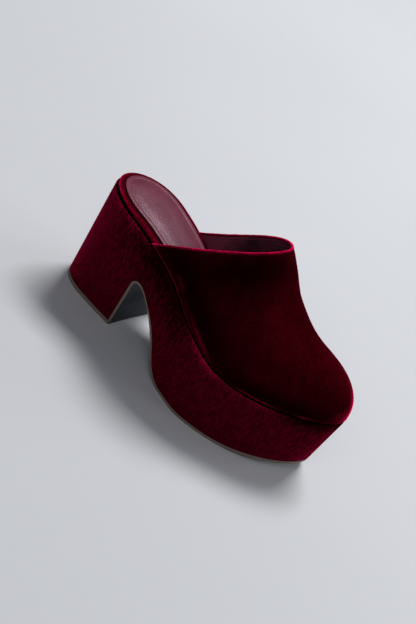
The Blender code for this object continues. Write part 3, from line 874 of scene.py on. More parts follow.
@dataclass
class Sole:
    """Platform and heel in one velvet-wrapped block, with the outsole sheet and the heel tip under it."""
    last: Last
    outsole_thickness: float = 0.0022
    thin_share: float = 0.48
    thin_at: float = 0.0840
    thin_reach: float = 0.0110
    tip_thickness: float = 0.0033
    gap: float = 0.0003
    lip_round: float = 0.0009
    lip_drop: float = 0.0014
    breast: float = 0.0684
    breast_lean: float = 0.030
    tip_setback: float = 0.0008
    breast_skew: float = 0.040
    notch_radius: float = 0.0040
    ground_end: float = 0.1820
    tread_tip: float = 0.2403
    toe_spring: float = 0.0100
    overrun: float = 0.15
    lean_back: Curve = default((
        (0.00, -0.0013), (0.30, 0.0074), (0.45, 0.0010), (0.70, 0.0016), (0.85, 0.0036), (1.00, 0.0056)))
    lean_outer: Curve = default((
        (0.00, 0.155), (0.30, 0.090), (0.45, -0.030), (0.70, -0.062), (0.85, -0.070), (1.00, -0.070)))
    lean_inner: Curve = default((
        (0.00, 0.155), (0.30, 0.090), (0.45, 0.020), (0.70, -0.020), (0.85, -0.035), (1.00, -0.070)))
    arch: Curve = default((
        (0.0000, 0.0469), (0.0060, 0.0448), (0.0160, 0.0374), (0.0300, 0.0245), (0.0470, 0.0064),
        (0.0640, 0.0000)), level_ends=True)
    # Painted highlight along the sole's lip, by place along the last; lip_glow and lip_spread set how far it
    # runs down the wall.
    lip_painted_bloom: Curve = default((
        (0.000, 0.24), (0.055, 0.24), (0.070, 0.04), (0.125, 0.02), (0.142, 0.34), (0.158, 0.38),
        (0.172, 0.15), (0.200, 0.09), (0.215, 0.04), (0.238, 0.04), (0.246, 0.25)))
    lip_glow: float = 0.0030
    lip_spread: float = 0.4
    # Painted shade on the lip's top, rising over these turns of its round.
    lip_shade_turns: tuple = (0.7, 1.3)
    # Patches of painted shade on the sole's wall: under the upper at the waist and at the toe, and at the
    # heel.
    shade_patches: tuple = (
        ShadePatch(at=0.090, up=0.0, along=0.042, tall=0.022, depth=0.86),
        ShadePatch(at=0.010, up=0.0, along=0.034, tall=0.014, depth=0.20),
        ShadePatch(at=0.236, up=0.0, along=0.020, tall=0.007, depth=0.86),
        ShadePatch(at=0.250, up=0.012, along=0.016, tall=0.030, depth=0.48),
    )
    toe_facing: float = 0.6
    heel_facing: float = 0.4
    side_facing: float = 0.5
    breast_points: int = 8
    notch_points: int = 14
    arch_points: int = 60
    toe_points: int = 36
    wall_rows: int = 18
    lip_rows: int = 6
    top_ring: float = 0.0060
    reach: float = 0.12
    margin: float = 0.05

    def tread_height(self, x: np.ndarray) -> np.ndarray:
        """Height of the tread from the ball forward."""
        share = np.clip((x - self.ground_end) / (self.tread_tip - self.ground_end), 0.0, None)
        return self.toe_spring * share ** 2

    def tread_loop(self) -> np.ndarray:
        """The feather edge drawn down to the tread, with the lean of the sole's wall.

        Returns:
            Points, one row each, in the order of the last's loop.
        """
        line = self.last.loop()
        at = line[:, 0] / self.last.length
        middle = self.last.swing(line[:, 0])
        x = line[:, 0] - self.lean_back.at(at)
        drawn = np.where(line[:, 1] < middle, self.lean_outer.at(at), self.lean_inner.at(at))
        return np.column_stack([x, middle + (line[:, 1] - middle) * (1 - drawn), self.tread_height(x)])

    def breast_at(self, height: np.ndarray | float) -> np.ndarray | float:
        """Place of the heel's front face at a height."""
        return self.breast - self.breast_lean * (self.arch.rows[0][1] - self.notch_radius - height)

    def tread_profile(self, thickness: float, gap: float = 0.0) -> np.ndarray:
        """Side view of the tread from the heel's front face to past the toe, raised square to itself.

        Args:
            thickness: how far it is raised, less over the crown of the arch.
            gap: how far it is raised evenly on top of that.

        Returns:
            Points in side view, one row each.
        """
        top = self.arch.rows[0][1]
        rise = np.linspace(self.tip_thickness + self.gap, top - self.notch_radius, self.breast_points)
        breast = np.column_stack([self.breast_at(rise), rise])
        turn = np.linspace(math.pi, math.pi / 2, self.notch_points)[1:-1]
        centre = self.breast + self.notch_radius
        notch = np.column_stack([centre + self.notch_radius * np.cos(turn),
                                 top + self.notch_radius * (np.sin(turn) - 1)])
        run = np.linspace(0.0, self.arch.rows[-1][0], self.arch_points)
        arch = np.column_stack([centre + run, self.arch.at(run)])
        ahead = np.linspace(self.ground_end, self.last.length + self.margin / 2, self.toe_points)
        path = np.concatenate([breast, notch, arch, np.column_stack([ahead, self.tread_height(ahead)])])
        along = unit(np.gradient(path, axis=0))
        thin = 1 - self.thin_share * np.exp(-((path[:, 0] - self.thin_at) / self.thin_reach) ** 2)
        return path + (thickness * thin + gap)[:, None] * np.column_stack([-along[:, 1], along[:, 0]])

    def block(self, name: str) -> bpy.types.Object:
        """The whole block under the feather edge, its walls run on below the tread.

        Args:
            name: the name of the piece that is cut from it.

        Returns:
            The uncut piece, with its painted highlight and painted shade marks.
        """
        foot = self.tread_loop()
        lip = self.last.raised(0.0, -self.lip_drop)
        below = foot + (foot - lip) * self.overrun
        floor = self.last.middle(0.0)
        floor[:, 2] = below[:, 2].min()
        tall = np.linalg.norm(lip - foot, axis=1)
        x = self.last.loop()[:, 0]
        # Painted highlight along the lip; painted shade from the patches, on the lip's top and over the
        # sole's top under the upper.
        lit = np.clip(self.lip_painted_bloom.at(x), 0.0, 1.0)
        rings = Rings()
        rings.add(floor)
        rings.add(below)
        for t in np.sin(np.linspace(0.0, math.pi / 2, self.wall_rows)):
            down = (1 - t) * tall
            spread = self.lip_spread * np.exp(-(down / self.lip_glow) ** 2)
            rings.add(foot + (lip - foot) * t, fold=lit * spread, shade=painted_shade(self.shade_patches, x, down))
        for turn in np.linspace(0.0, math.pi / 2, self.lip_rows)[1:]:
            inset = self.lip_round * (1 - math.cos(turn))
            ring = self.last.raised(inset, -self.lip_drop * (1 - math.sin(turn)))
            lip_shade = np.maximum(painted_shade(self.shade_patches, x, np.zeros_like(x)), ease(turn, *self.lip_shade_turns))
            spread = self.lip_spread + (1 - self.lip_spread) * math.sin(2 * turn)
            rings.add(ring, fold=lit * spread, shade=lip_shade)
        rings.add(self.last.raised(self.top_ring, 0.0), shade=1.0)
        rings.add(self.last.middle(0.0), shade=1.0)
        return rings.piece(name, self.last)

    def cutter(self, profile: np.ndarray) -> bpy.types.Object:
        """A cutter across the shoe.

        Args:
            profile: its closed outline in side view, one row for each point.

        Returns:
            The cutter.
        """
        bm = bmesh.new()
        outline = np.column_stack([profile[:, 0] - self.breast_skew * self.reach,
                                   np.full(len(profile), -self.reach), profile[:, 1]])
        face = bm.faces.new([bm.verts.new(point) for point in self.last.placed(outline)])
        grown = bmesh.ops.extrude_face_region(bm, geom=[face])
        moved = [item for item in grown["geom"] if isinstance(item, bmesh.types.BMVert)]
        across = 2 * self.reach
        bmesh.ops.translate(bm, verts=moved, vec=(self.breast_skew * across, across, 0.0))
        bmesh.ops.recalc_face_normals(bm, faces=bm.faces[:])
        return mesh_piece("cutter", bm)

    def cut_piece(self, name: str, profile: np.ndarray, cut: Cut) -> bpy.types.Object:
        """A piece cut from the block.

        Args:
            name: the piece's name.
            profile: the cutter's closed outline in side view.
            cut: whether the cutter's inside is taken away or kept.

        Returns:
            The piece, with sharp cut edges.
        """
        piece = self.block(name)
        carve(piece, self.cutter(profile), cut)
        piece.data.set_sharp_from_angle(angle=SHARP_ANGLE)
        return piece

    def build_wrap(self) -> None:
        """The velvet wall of platform and heel."""
        line = self.tread_profile(self.outsole_thickness, self.gap)
        top = self.tip_thickness + self.gap
        profile = np.concatenate([[(-self.margin, -self.margin), (-self.margin, top)], line,
                                  [(line[-1, 0], -self.margin)]])
        wrap = self.cut_piece("sole_velvet", profile, Cut.AWAY)
        finish_piece(wrap, [SOLE_VELVET.material()], ("sole_unit",))

    def mark_edges(self, piece: bpy.types.Object) -> None:
        """Give the second material, a dark bluish copy of the rubber that paints shade, to the faces under
        the tread and on the breast.

        Args:
            piece: a rubber piece, cut to its form.
        """
        for face in piece.data.polygons:
            skewed = face.center.x - self.last.shift[0] - self.breast_skew * face.center.y
            toe_wall = face.normal.x > self.toe_facing and skewed > self.ground_end
            heel_wall = face.normal.x < -self.heel_facing and skewed < self.breast / 2
            side_wall = abs(face.normal.y) > self.side_facing
            face.material_index = 0 if side_wall or toe_wall or heel_wall else 1

    def build_outsole(self) -> None:
        """The rubber sheet under forefoot and arch that turns down the front of the heel."""
        band = np.concatenate([self.tread_profile(0.0), self.tread_profile(self.outsole_thickness)[::-1]])
        sheet = self.cut_piece("outsole_sheet", band, Cut.KEEP)
        self.mark_edges(sheet)
        finish_piece(sheet, [EDGE_RUBBER.material(), SHADED_RUBBER.material()], ("outsole",))

    def build_tip(self) -> None:
        """The flat top piece that the heel stands on."""
        ends = [self.breast_at(height) - self.tip_setback for height in (0.0, self.tip_thickness)]
        slab = np.array([(-self.margin, 0.0), (ends[0], 0.0), (ends[1], self.tip_thickness),
                         (-self.margin, self.tip_thickness)])
        tip = self.cut_piece("heel_top_piece", slab, Cut.KEEP)
        self.mark_edges(tip)
        finish_piece(tip, [bpy.data.materials[rubber.name] for rubber in (EDGE_RUBBER, SHADED_RUBBER)],
                     ("heel_tip",))

    def build(self) -> None:
        """All pieces of the sole."""
        self.build_wrap()
        self.build_outsole()
        self.build_tip()


@dataclass
class Insole:
    """The velvet-wrapped board whose rim shows round the heel, and the padded sock on it."""
    last: Last
    gap: float = 0.0003
    board_thickness: float = 0.0036
    board_round: float = 0.0009
    under_round: float = 0.0004
    groove: Curve = default(((0.000, 0.0022), (0.028, 0.0022), (0.046, 0.0010), (0.060, 0.0008)))
    groove_depth: float = 0.0012
    inset_heel: float = 0.0012
    inset_vamp: float = 0.0025
    step_start: float = 0.0350
    step_end: float = 0.0580
    # Painted highlight along the rim, by place along the last.
    rim_painted_bloom: Curve = default(((0.000, 0.52), (0.012, 0.58), (0.022, 0.27), (0.034, 0.16), (0.060, 0.14)))
    rim_spread: float = 0.6
    rim_fade: float = 0.8
    # Painted shade under the rim, fading out over these turns.
    under_shade_turns: tuple = (-1.3, -0.3)
    under_rows: int = 5
    rim_rows: int = 7
    seams: tuple = (0.0023, 0.0036)
    seam_width: float = 0.00038
    seam_depth: float = 0.0002
    seam_shade: float = 0.92
    joint_out: float = 0.0006
    joint_in: float = 0.0002
    joint_shade: float = 0.4
    sock_thickness: float = 0.0011
    sock_inset: float = 0.0050
    sock_round: float = 0.0006
    sock_edge_rows: int = 6
    border_insets: tuple = (0.0006, 0.0046, 14)
    crown_insets: tuple = (0.0054, 0.0160, 10)
    crown: Curve = default((
        (0.0000, 0.0000), (0.0014, 0.0001), (0.0028, 0.00010), (0.0034, 0.00001), (0.0040, 0.00010),
        (0.0062, 0.0003), (0.0100, 0.0007), (0.0160, 0.0010)))
    border_width: float = 0.0034
    border_blur: float = 0.0004
    toe_narrowing: float = 0.5
    narrow_start: float = 0.1900
    stitch_pitch: float = 0.0024
    stitch_length: float = 0.0017
    stitch_width: float = 0.00040
    stitch_sink: float = 0.0001

    def narrowed(self) -> np.ndarray:
        """Share that is left of a distance in from the sock's edge, for each point of the loop."""
        return 1 - self.toe_narrowing * ease(self.last.loop()[:, 0], self.narrow_start, self.last.length)

    def rim(self) -> np.ndarray:
        """Step from the lip to the board's rim, for each point of the loop."""
        grown = ease(self.last.loop()[:, 0], self.step_start, self.step_end)
        return self.inset_heel + (self.inset_vamp - self.inset_heel) * grown

    def build_board(self) -> None:
        """The wrapped board: a groove darkened with painted shade, a rolled rim over it with a painted
        highlight, and two fine seams on the rim's top, darkened by the shade mark.
        """
        rim = self.rim()
        top = self.gap + self.board_thickness
        x = np.minimum(self.last.loop()[:, 0], self.groove.rows[-1][0])
        under = self.gap + self.groove.at(x)
        # Painted highlight along the rim; the shade mark paints shade in the groove, in the seams and in the
        # gap at the sock's edge.
        lit = np.clip(self.rim_painted_bloom.at(x), 0.0, 1.0)
        rings = Rings()
        rings.add(self.last.middle(self.gap), shade=1.0)
        rings.add(self.last.raised(rim + self.groove_depth, self.gap), shade=1.0)
        rings.add(self.last.raised(rim + self.groove_depth, under), shade=1.0)
        for turn in np.linspace(-math.pi / 2, 0.0, self.under_rows):
            ring = self.last.raised(rim + self.under_round * (1 - math.cos(turn)),
                                    under + self.under_round * (1 + math.sin(turn)))
            rings.add(ring, shade=1 - float(ease(turn, *self.under_shade_turns)),
                      fold=self.rim_spread * lit * math.cos(turn))
        for turn in np.linspace(0.0, math.pi / 2, self.rim_rows):
            ring = self.last.raised(rim + self.board_round * (1 - math.cos(turn)),
                                    top - self.board_round * (1 - math.sin(turn)))
            spread = self.rim_spread + (1 - self.rim_spread) * math.sin(2 * turn)
            rings.add(ring, fold=lit * spread * math.cos(turn * self.rim_fade))
        for seam in self.seams:
            for offset, deep in ((-1.0, 0.0), (0.0, 1.0), (1.0, 0.0)):
                ring = self.last.raised(rim + seam + offset * self.seam_width, top - deep * self.seam_depth)
                rings.add(ring, shade=self.seam_shade * deep)
        rings.add(self.last.raised(rim + self.sock_inset - self.joint_out, top), shade=self.joint_shade)
        rings.add(self.last.raised(rim + self.sock_inset + self.joint_in, top), shade=1.0)
        rings.add(self.last.middle(top), shade=1.0)
        finish_piece(rings.piece("rim_velvet", self.last), [RIM_VELVET.material()],
                     ("insole_board",))

    def build_sock(self) -> None:
        """The padded sock: a rounded edge, a flat border, a sewn groove and a crowned middle."""
        side = self.rim() + self.sock_inset
        bottom = 2 * self.gap + self.board_thickness
        top = bottom + self.sock_thickness
        bend = self.sock_round
        rings = Rings()
        rings.add(self.last.middle(bottom))
        rings.add(self.last.raised(side + bend, bottom))
        for turn in np.linspace(0.0, math.pi / 2, self.sock_edge_rows):
            ring = self.last.raised(side + bend * (1 - math.cos(turn)), top - bend * (1 - math.sin(turn)))
            rings.add(ring, border=0.5 + 0.5 * math.sin(turn))
        fade = (self.border_width - self.border_blur, self.border_width + self.border_blur)
        for inset in np.concatenate([np.linspace(*self.border_insets), np.linspace(*self.crown_insets)]):
            ring = self.last.raised(side + bend + inset * self.narrowed(), top + float(self.crown.at(inset)))
            rings.add(ring, border=1.0 - float(ease(inset, *fade)))
        rings.add(self.last.middle(top + self.crown.rows[-1][1]))
        sock = rings.piece("sock_pad", self.last)
        finish_piece(sock, [SOCK_LEATHER.material()], ("insole_sock",))

    def build_stitches(self) -> None:
        """The row of stitches in the sock's groove, each a flat bead of thread."""
        side = self.rim() + self.sock_inset + self.sock_round + self.border_width * self.narrowed()
        lift = 2 * self.gap + self.board_thickness + self.sock_thickness
        path = self.last.placed(self.last.raised(side, lift - self.stitch_sink))
        path = np.concatenate([path, path[:1]])
        run = np.concatenate([[0.0], np.cumsum(np.linalg.norm(np.diff(path, axis=0), axis=1))])
        count = int(run[-1] / self.stitch_pitch)
        thick = self.stitch_width / 2
        size = Matrix.Diagonal((self.stitch_length / 2, thick, thick, 1.0))
        bm = bmesh.new()
        for k in range(count):
            ends = [Vector([np.interp(run[-1] * (k + t) / count, run, path[:, axis]) for axis in range(3)])
                    for t in (0.0, self.stitch_length / self.stitch_pitch)]
            along = (ends[1] - ends[0]).normalized()
            turn = along.to_track_quat("X", "Z").to_matrix().to_4x4()
            place = Matrix.Translation((ends[0] + ends[1]) / 2) @ turn @ size
            bmesh.ops.create_uvsphere(bm, u_segments=6, v_segments=4, radius=1.0, matrix=place)
        stitches = mesh_piece("sock_stitches", bm)
        finish_piece(stitches, [SOCK_THREAD.material()])

    def build(self) -> None:
        """All pieces of the insole."""
        self.build_board()
        self.build_sock()
        self.build_stitches()


@dataclass(frozen=True)
class Crease:
    """A soft ridge (or trough, where rise is below 0) on one side of the upper.

    at and above place its middle along the last and above the feather edge; length and width are half sizes,
    slant is its climb above the edge along the last, and painted_bloom the strength of the painted highlight
    on it.
    """
    at: float
    above: float
    length: float
    width: float
    rise: float
    slant: float = 0.0
    painted_bloom: float = 0.0
    side: Side = Side.OUTER

    def shape(self, x: np.ndarray, above: np.ndarray) -> np.ndarray:
        """Its share of full height at places along the last and above the feather edge."""
        off = above - self.above - self.slant * (x - self.at)
        return np.exp(-((x - self.at) / self.length) ** 4 - (off / self.width) ** 2)


@dataclass
class Upper:
    """The closed toe and instep: a velvet wall with a rolled topline, and its leather lining."""
    last: Last
    throat_outer: float = 0.0625
    throat_inner: float = 0.0635
    peak: tuple = (0.1439, 0.0015, 0.1399)
    bow_inner: float = 0.0047
    toe_box_setback: float = 0.0522
    toe_box_height: float = 0.0467
    ridge_swing: float = 0.64
    ridge_power: float = 1.3
    fan: float = 2.3
    cover_power: float = 0.91
    full_outer: float = 2.69
    full_inner: float = 2.23
    full_toe: float = 2.10
    bulge_throat: float = 0.0018
    bulge_toe: float = 0.0023
    ridge_left: Curve = default(((0.00, 1.00), (0.25, 0.73), (0.50, 0.31), (0.75, 0.05), (1.00, 0.00)))
    gap: float = 0.0003
    pile: float = 0.0012
    wall: float = 0.0020
    lining_gap: float = 0.0001
    ruffle_depth: float = 0.00006
    ruffle_pitch: float = 0.0011
    roll: float = 0.00095
    roll_swell: float = 0.00020
    roll_lap: float = 0.8
    turn_in: float = 0.0022
    # How far the lining is paler towards the back of the throat, and along its edge.
    pale_reach: tuple = (0.0750, 0.1080)
    pale_edge: float = 0.0009
    pale_share: float = 0.9
    pale_fade: tuple = (0.105, 0.132)
    # Where the low front of the toe gets a painted sheen: its reach along the last and its fade upwards.
    toe_sheen_reach: tuple = (0.2120, 0.2380)
    toe_sheen_rise: tuple = (0.012, 0.034)
    # Painted highlight along the topline roll, weaker on the inner side.
    roll_painted_bloom: float = 1.0
    roll_inner: float = 0.66
    roll_sides: tuple = (1.0, 1.35)
    roll_spread: float = 0.40
    glow_rise: tuple = (-0.7, 0.8)
    glow_fall: tuple = (2.0, 3.1)
    glow_lost: float = 0.6
    # Painted shade in the crevice at the feather edge: full below the first height, gone above the second.
    crevice: tuple = (0.0010, 0.0020)
    ridge_fade: tuple = (0.88, 1.22)
    tuck: float = 0.0020
    bead: float = 0.00030
    bead_height: float = 0.0023
    bead_width: float = 0.00045
    # Painted highlight along the bead, by place along the last.
    bead_painted_bloom: Curve = default((
        (0.062, 0.37), (0.090, 0.34), (0.110, 0.24), (0.125, 0.15), (0.135, 0.06), (0.180, 0.04),
        (0.190, 0.46), (0.206, 0.52), (0.214, 0.06), (0.223, 0.03), (0.228, 0.50), (0.234, 0.05),
        (0.246, 0.03)))
    columns: int = 120
    column_power: float = 1.15
    edge_rows: tuple = (0.0, 0.004, 0.008, 0.013, 0.019, 0.024, 0.029, 0.034, 0.040, 0.047)
    side_start: float = 0.055
    rows: int = 64
    row_power: float = 1.35
    roll_steps: int = 9
    creases: tuple = (
        Crease(at=0.1007, above=0.0088, length=0.0055, width=0.0017, rise=0.00040, painted_bloom=0.25),
        Crease(at=0.1165, above=0.0056, length=0.0075, width=0.0013, rise=0.00030, painted_bloom=0.06),
        Crease(at=0.1010, above=0.0056, length=0.0080, width=0.0018, rise=-0.00030),
        Crease(at=0.1400, above=0.0056, length=0.0145, width=0.0016, rise=0.00055, slant=-0.08, painted_bloom=0.32),
        Crease(at=0.1420, above=0.0030, length=0.0150, width=0.0014, rise=-0.00035, slant=-0.04),
        Crease(at=0.2390, above=0.0080, length=0.0110, width=0.0050, rise=0.0, painted_bloom=0.10, side=Side.INNER),
        Crease(at=0.2480, above=0.0080, length=0.0060, width=0.0050, rise=0.0, painted_bloom=0.16),
    )
    # Patches of painted shade on the upper: low on the side, under the topline and along the ridge.
    low_shade_patches: tuple = (
        ShadePatch(at=0.120, up=0.014, along=0.055, tall=0.018, depth=0.78),
        ShadePatch(at=0.205, up=0.006, along=0.045, tall=0.010, depth=0.80),
    )
    top_shade_patches: tuple = (
        ShadePatch(at=0.110, up=0.010, along=0.055, tall=0.016, depth=0.40),
        ShadePatch(at=0.132, up=0.018, along=0.026, tall=0.018, depth=0.60),
    )
    ridge_shade_patch: ShadePatch = ShadePatch(at=0.180, up=1.14, along=0.030, tall=0.24, depth=0.52)

    def crest(self, share: np.ndarray) -> tuple:
        """The ridge from the topline's peak to the toe box.

        Args:
            share: share of the way round from the topline to the toe.

        Returns:
            Points on the ridge, and its slope in side view.
        """
        run = 1 - (1 - share) ** self.fan
        end_x = self.last.length - self.toe_box_setback
        end_z = float(self.last.bed_height(end_x)) + self.toe_box_height
        x = self.peak[0] + (end_x - self.peak[0]) * run
        end_y = float(self.last.swing(np.array(end_x))) * self.ridge_swing
        y = self.peak[1] + (end_y - self.peak[1]) * run ** self.ridge_power
        drop = self.peak[2] - end_z
        step = 0.001
        slope = (self.ridge_left.at(run + step) - self.ridge_left.at(run - step)) / (2 * step)
        slope = slope * drop / (end_x - self.peak[0])
        return np.stack([x, y, end_z + drop * self.ridge_left.at(run)], axis=-1), slope

    def base(self, share: np.ndarray, side: Side) -> np.ndarray:
        """Where a column starts on the feather edge.

        Args:
            share: share of the way round from the topline to the toe.
            side: which side of the shoe.

        Returns:
            Points, in the last's place.
        """
        throat = self.throat_outer if side is Side.OUTER else self.throat_inner
        x = throat + (self.last.length - throat) * np.sin(share * math.pi / 2)
        return np.stack([x, self.last.edge(x, side), self.last.bed_height(x)], axis=-1)

    def half(self, share: np.ndarray, angle: np.ndarray, side: Side) -> np.ndarray:
        """One side of the upper's outside.

        Args:
            share: share of the way round from the topline to the toe.
            angle: 0 at the feather edge, a right angle on the ridge.
            side: which side of the shoe.

        Returns:
            Points, in the last's place.
        """
        crest, slope = self.crest(share)
        base = self.base(share, side)
        turn = np.sin(share * math.pi / 2) ** 2
        ahead = turn ** self.cover_power
        full = self.full_outer if side is Side.OUTER else self.full_inner
        power = 2 / (full + (self.full_toe - full) * turn)
        cosine = np.clip(np.cos(angle), 0.0, 1.0)
        over = 1 - cosine ** power
        up = np.sin(angle) ** power
        reach = crest - base
        lean = slope * reach[..., 0] * ahead
        x = base[..., 0] + reach[..., 0] * ((1 - ahead) * up + ahead * over)
        y = base[..., 1] + reach[..., 1] * over
        bow = self.bow_inner if side is Side.INNER else 0.0
        z = base[..., 2] + (reach[..., 2] - lean) * up + lean * over
        z = z + bow * (1 - turn) ** 2 * np.sin(2 * angle) ** 2
        step = 1e-3
        along = unit((self.base(share, side) - self.base(share - step, side))[..., :2])
        outward = np.stack([along[..., 1], -along[..., 0]], axis=-1) * -side.value
        swell = (self.bulge_throat + (self.bulge_toe - self.bulge_throat) * turn)
        swell = swell * np.sin(2 * angle) * np.sqrt(cosine)
        x = x + outward[..., 0] * swell
        y = y + outward[..., 1] * swell
        return np.stack([x, y, z], axis=-1)

    def heights(self) -> np.ndarray:
        """Places of a hoop's points, close together at the feather edges.

        Returns:
            The places: 0 at the outer feather edge, 1 on the ridge, 2 at the inner edge.
        """
        side = np.concatenate([self.edge_rows, np.linspace(self.side_start, 1.0, self.rows)])
        return np.concatenate([side, 2 - side[-2::-1]])

    def hoops(self, share: np.ndarray, height: np.ndarray) -> np.ndarray:
        """The upper's outside as hoops over the foot.

        Args:
            share: share of the way round from the topline to the toe, by column and row.
            height: place on the hoop, by column and row.

        Returns:
            Points, in the last's place.
        """
        low = np.minimum(height, 2 - height)
        angle = math.pi / 2 * low ** self.row_power
        outer = self.half(share, angle, Side.OUTER)
        inner = self.half(share, angle, Side.INNER)
        return np.where((height <= 1)[..., None], outer, inner)

    def creased(self, points: np.ndarray, height: np.ndarray) -> tuple:
        """How the creases change the cloth.

        Args:
            points: the upper's outside, by column and row.
            height: place of each on its hoop.

        Returns:
            How far each point is lifted, and how strong its painted highlight is.
        """
        above = self.last.above(points)
        lift = np.zeros(points.shape[:2])
        painted_bloom = np.zeros(points.shape[:2])
        for crease in self.creases:
            on_side = height <= 1 if crease.side is Side.OUTER else height >= 1
            shape = np.where(on_side, crease.shape(points[..., 0], above), 0.0)
            lift = lift + crease.rise * shape
            painted_bloom = painted_bloom + crease.painted_bloom * shape
        return lift, painted_bloom

    def outside(self, start: float) -> tuple:
        """The upper's plain outside, closed along the toe's seam.

        Args:
            start: distance of the first column from the topline.

        Returns:
            Points and outward normals by column and row, and the place of each point on its hoop.
        """
        heights = self.heights()
        shares = np.linspace(0.0, 1.0, self.columns) ** self.column_power
        step = 1e-3
        speed = self.hoops(np.full((1, len(heights)), step), heights[None])
        speed = speed - self.hoops(np.zeros((1, len(heights))), heights[None])
        first = start / (np.linalg.norm(speed, axis=-1) / step)
        share = first + (1 - first) * shares[:, None]
        height = np.broadcast_to(heights[None], share.shape)
        face = self.hoops(share, height)
        ghost = np.concatenate([face, face[-2:-1, ::-1]])
        forward = np.gradient(ghost, axis=0)[:-1]
        sideways = np.gradient(face, axis=1)
        normal = unit(np.cross(forward, sideways))
        normal[:, [0, -1], 2] = 0.0
        pole = len(heights) // 2
        normal[-1] = normal[-1] + normal[-1, ::-1]
        normal[-1, pole] = normal[-1, pole + 1]
        normal[-1, pole - 1] = normal[-1, pole]
        face[-1] = (face[-1] + face[-1, ::-1]) / 2
        face[-1, pole - 1:pole + 2] = face[-1, pole]
        return face, unit(normal), height

    def worked(self, plain: np.ndarray, normal: np.ndarray, height: np.ndarray) -> tuple:
        """The outside with its creases, the bead above the feather edge and the tuck below it.

        Args:
            plain: the plain outside, by column and row.
            normal: its outward normals.
            height: place of each point on its hoop.

        Returns:
            Points, and the painted highlight at each, on the creases and along the bead.
        """
        lift, painted_bloom = self.creased(plain, height)
        above = self.last.above(plain)
        level = unit(normal * np.array([1.0, 1.0, 0.0]))
        tucked = self.tuck * (1 - np.sqrt(1 - np.clip(1 - above / self.tuck, 0.0, 1.0) ** 2))
        on_bead = np.exp(-((above - self.bead_height) / self.bead_width) ** 2)
        painted_bloom = painted_bloom + on_bead * np.clip(self.bead_painted_bloom.at(plain[..., 0]), 0.0, 1.0)
        return plain + normal * lift[..., None] + level * (self.bead * on_bead - tucked)[..., None], painted_bloom

    def shaded(self, plain: np.ndarray, face: np.ndarray, run: np.ndarray, height: np.ndarray) -> np.ndarray:
        """How dark the painted shade makes the pile.

        Args:
            plain: the plain outside, by column and row.
            face: the outside with its creases.
            run: distance of each point from the edge along the topline.
            height: place of each point on its hoop.

        Returns:
            Darkness from 0 to 1, full in the crevice at the feather edge.
        """
        above = self.last.above(plain)
        left = 1 - painted_shade(self.low_shade_patches, plain[..., 0], above)
        left = left * (1 - painted_shade(self.top_shade_patches, face[..., 0], run))
        left = 1 - (1 - left) * (1 - ease(height, *self.ridge_fade))
        left = left * (1 - self.ridge_shade_patch.shape(face[..., 0], height))
        return 1 - left * ease(above, *self.crevice)

    def paled(self, x: np.ndarray, run: np.ndarray) -> np.ndarray:
        """How much paler the leather is: at the back of the throat and close to its edge."""
        edge = self.pale_share * np.exp(-(run / self.pale_edge) ** 2) * (1 - ease(x, *self.pale_fade))
        return np.maximum(1 - ease(x, *self.pale_reach), edge)

    def painted_toe_sheen(self, points: np.ndarray) -> np.ndarray:
        """Where the low front of the toe gets a painted sheen at grazing angles."""
        low = 1 - ease(self.last.above(points), *self.toe_sheen_rise)
        return ease(points[..., 0], *self.toe_sheen_reach) * low

    @staticmethod
    def wrapped(face: np.ndarray, edge: np.ndarray | float, steps: int) -> np.ndarray:
        """A mark carried from the outer face over the round edge to the inner face.

        Args:
            face: its values by column and row, the same on both faces.
            edge: its values on the round edge.
            steps: columns of the round edge.

        Returns:
            The values by column and row, with one more row at each end.
        """
        edge = np.broadcast_to(edge, (steps, face.shape[1]))
        return np.pad(np.concatenate([face[::-1], edge, face]), ((0, 0), (1, 1)), mode="edge")

    def shell(self, name: str, start: float, outside: float, inside: float, roll: float,
              swell: float = 0.0) -> bpy.types.Object:
        """A closed wall that follows the upper's outside, with a round edge along the topline.

        Args:
            name: the piece's name.
            start: distance of its edge from the topline.
            outside: how far its outer face lies inside the upper's outside.
            inside: the same for its inner face.
            roll: half thickness of its round edge.
            swell: how far the outer face stands proud along the edge.

        Returns:
            The piece.
        """
        plain, normal, height = self.outside(start + roll * self.roll_lap)
        face, painted_bloom = self.worked(plain, normal, height)
        steps = np.linalg.norm(np.diff(face, axis=0), axis=-1)
        run = np.concatenate([np.zeros_like(steps[:1]), np.cumsum(steps, axis=0)])
        near = 1 - ease(run, 0.0, self.turn_in)
        outer = face - normal * (outside - swell * near)[..., None]
        inner = face - normal * (inside + (2 * roll + outside - inside) * near)[..., None]
        back = unit(face[0] - face[1])
        middle = (outer[0] + inner[0]) / 2
        radius = np.linalg.norm(outer[0] - inner[0], axis=-1, keepdims=True) / 2
        turns = np.linspace(0.0, math.pi, self.roll_steps)[1:-1]
        edge = [middle + radius * (normal[0] * math.cos(turn) + back * math.sin(turn)) for turn in turns]
        points = np.concatenate([outer[::-1], np.stack(edge), inner])
        ends = [(points + points[::-1])[:, [k]] / 2 for k in (0, -1)]
        points = np.concatenate([ends[0], points, ends[1]], axis=1)
        points[..., 2] += self.gap

        # Painted highlight along the topline roll, on the bead and on the creases; painted shade in patches
        # and in the crevice; a painted sheen mask low on the toe.
        lit = self.roll_painted_bloom + (self.roll_inner - self.roll_painted_bloom) * ease(height[0], *self.roll_sides)
        glow = ease(turns, *self.glow_rise) * (1 - self.glow_lost * ease(turns, *self.glow_fall))
        fold = np.maximum(self.roll_spread * near ** 4 * lit, painted_bloom)
        shade = self.shaded(plain, face, run, height)
        marks = {
            "fold": self.wrapped(fold, glow[:, None] * lit, len(turns)),
            "shade": self.wrapped(shade, shade[0], len(turns)),
            "border": self.paled(points[..., 0], self.wrapped(run, 0.0, len(turns))),
            "toe_sheen": self.painted_toe_sheen(points),
        }
        return grid_piece(name, self.last.placed(points), marks)

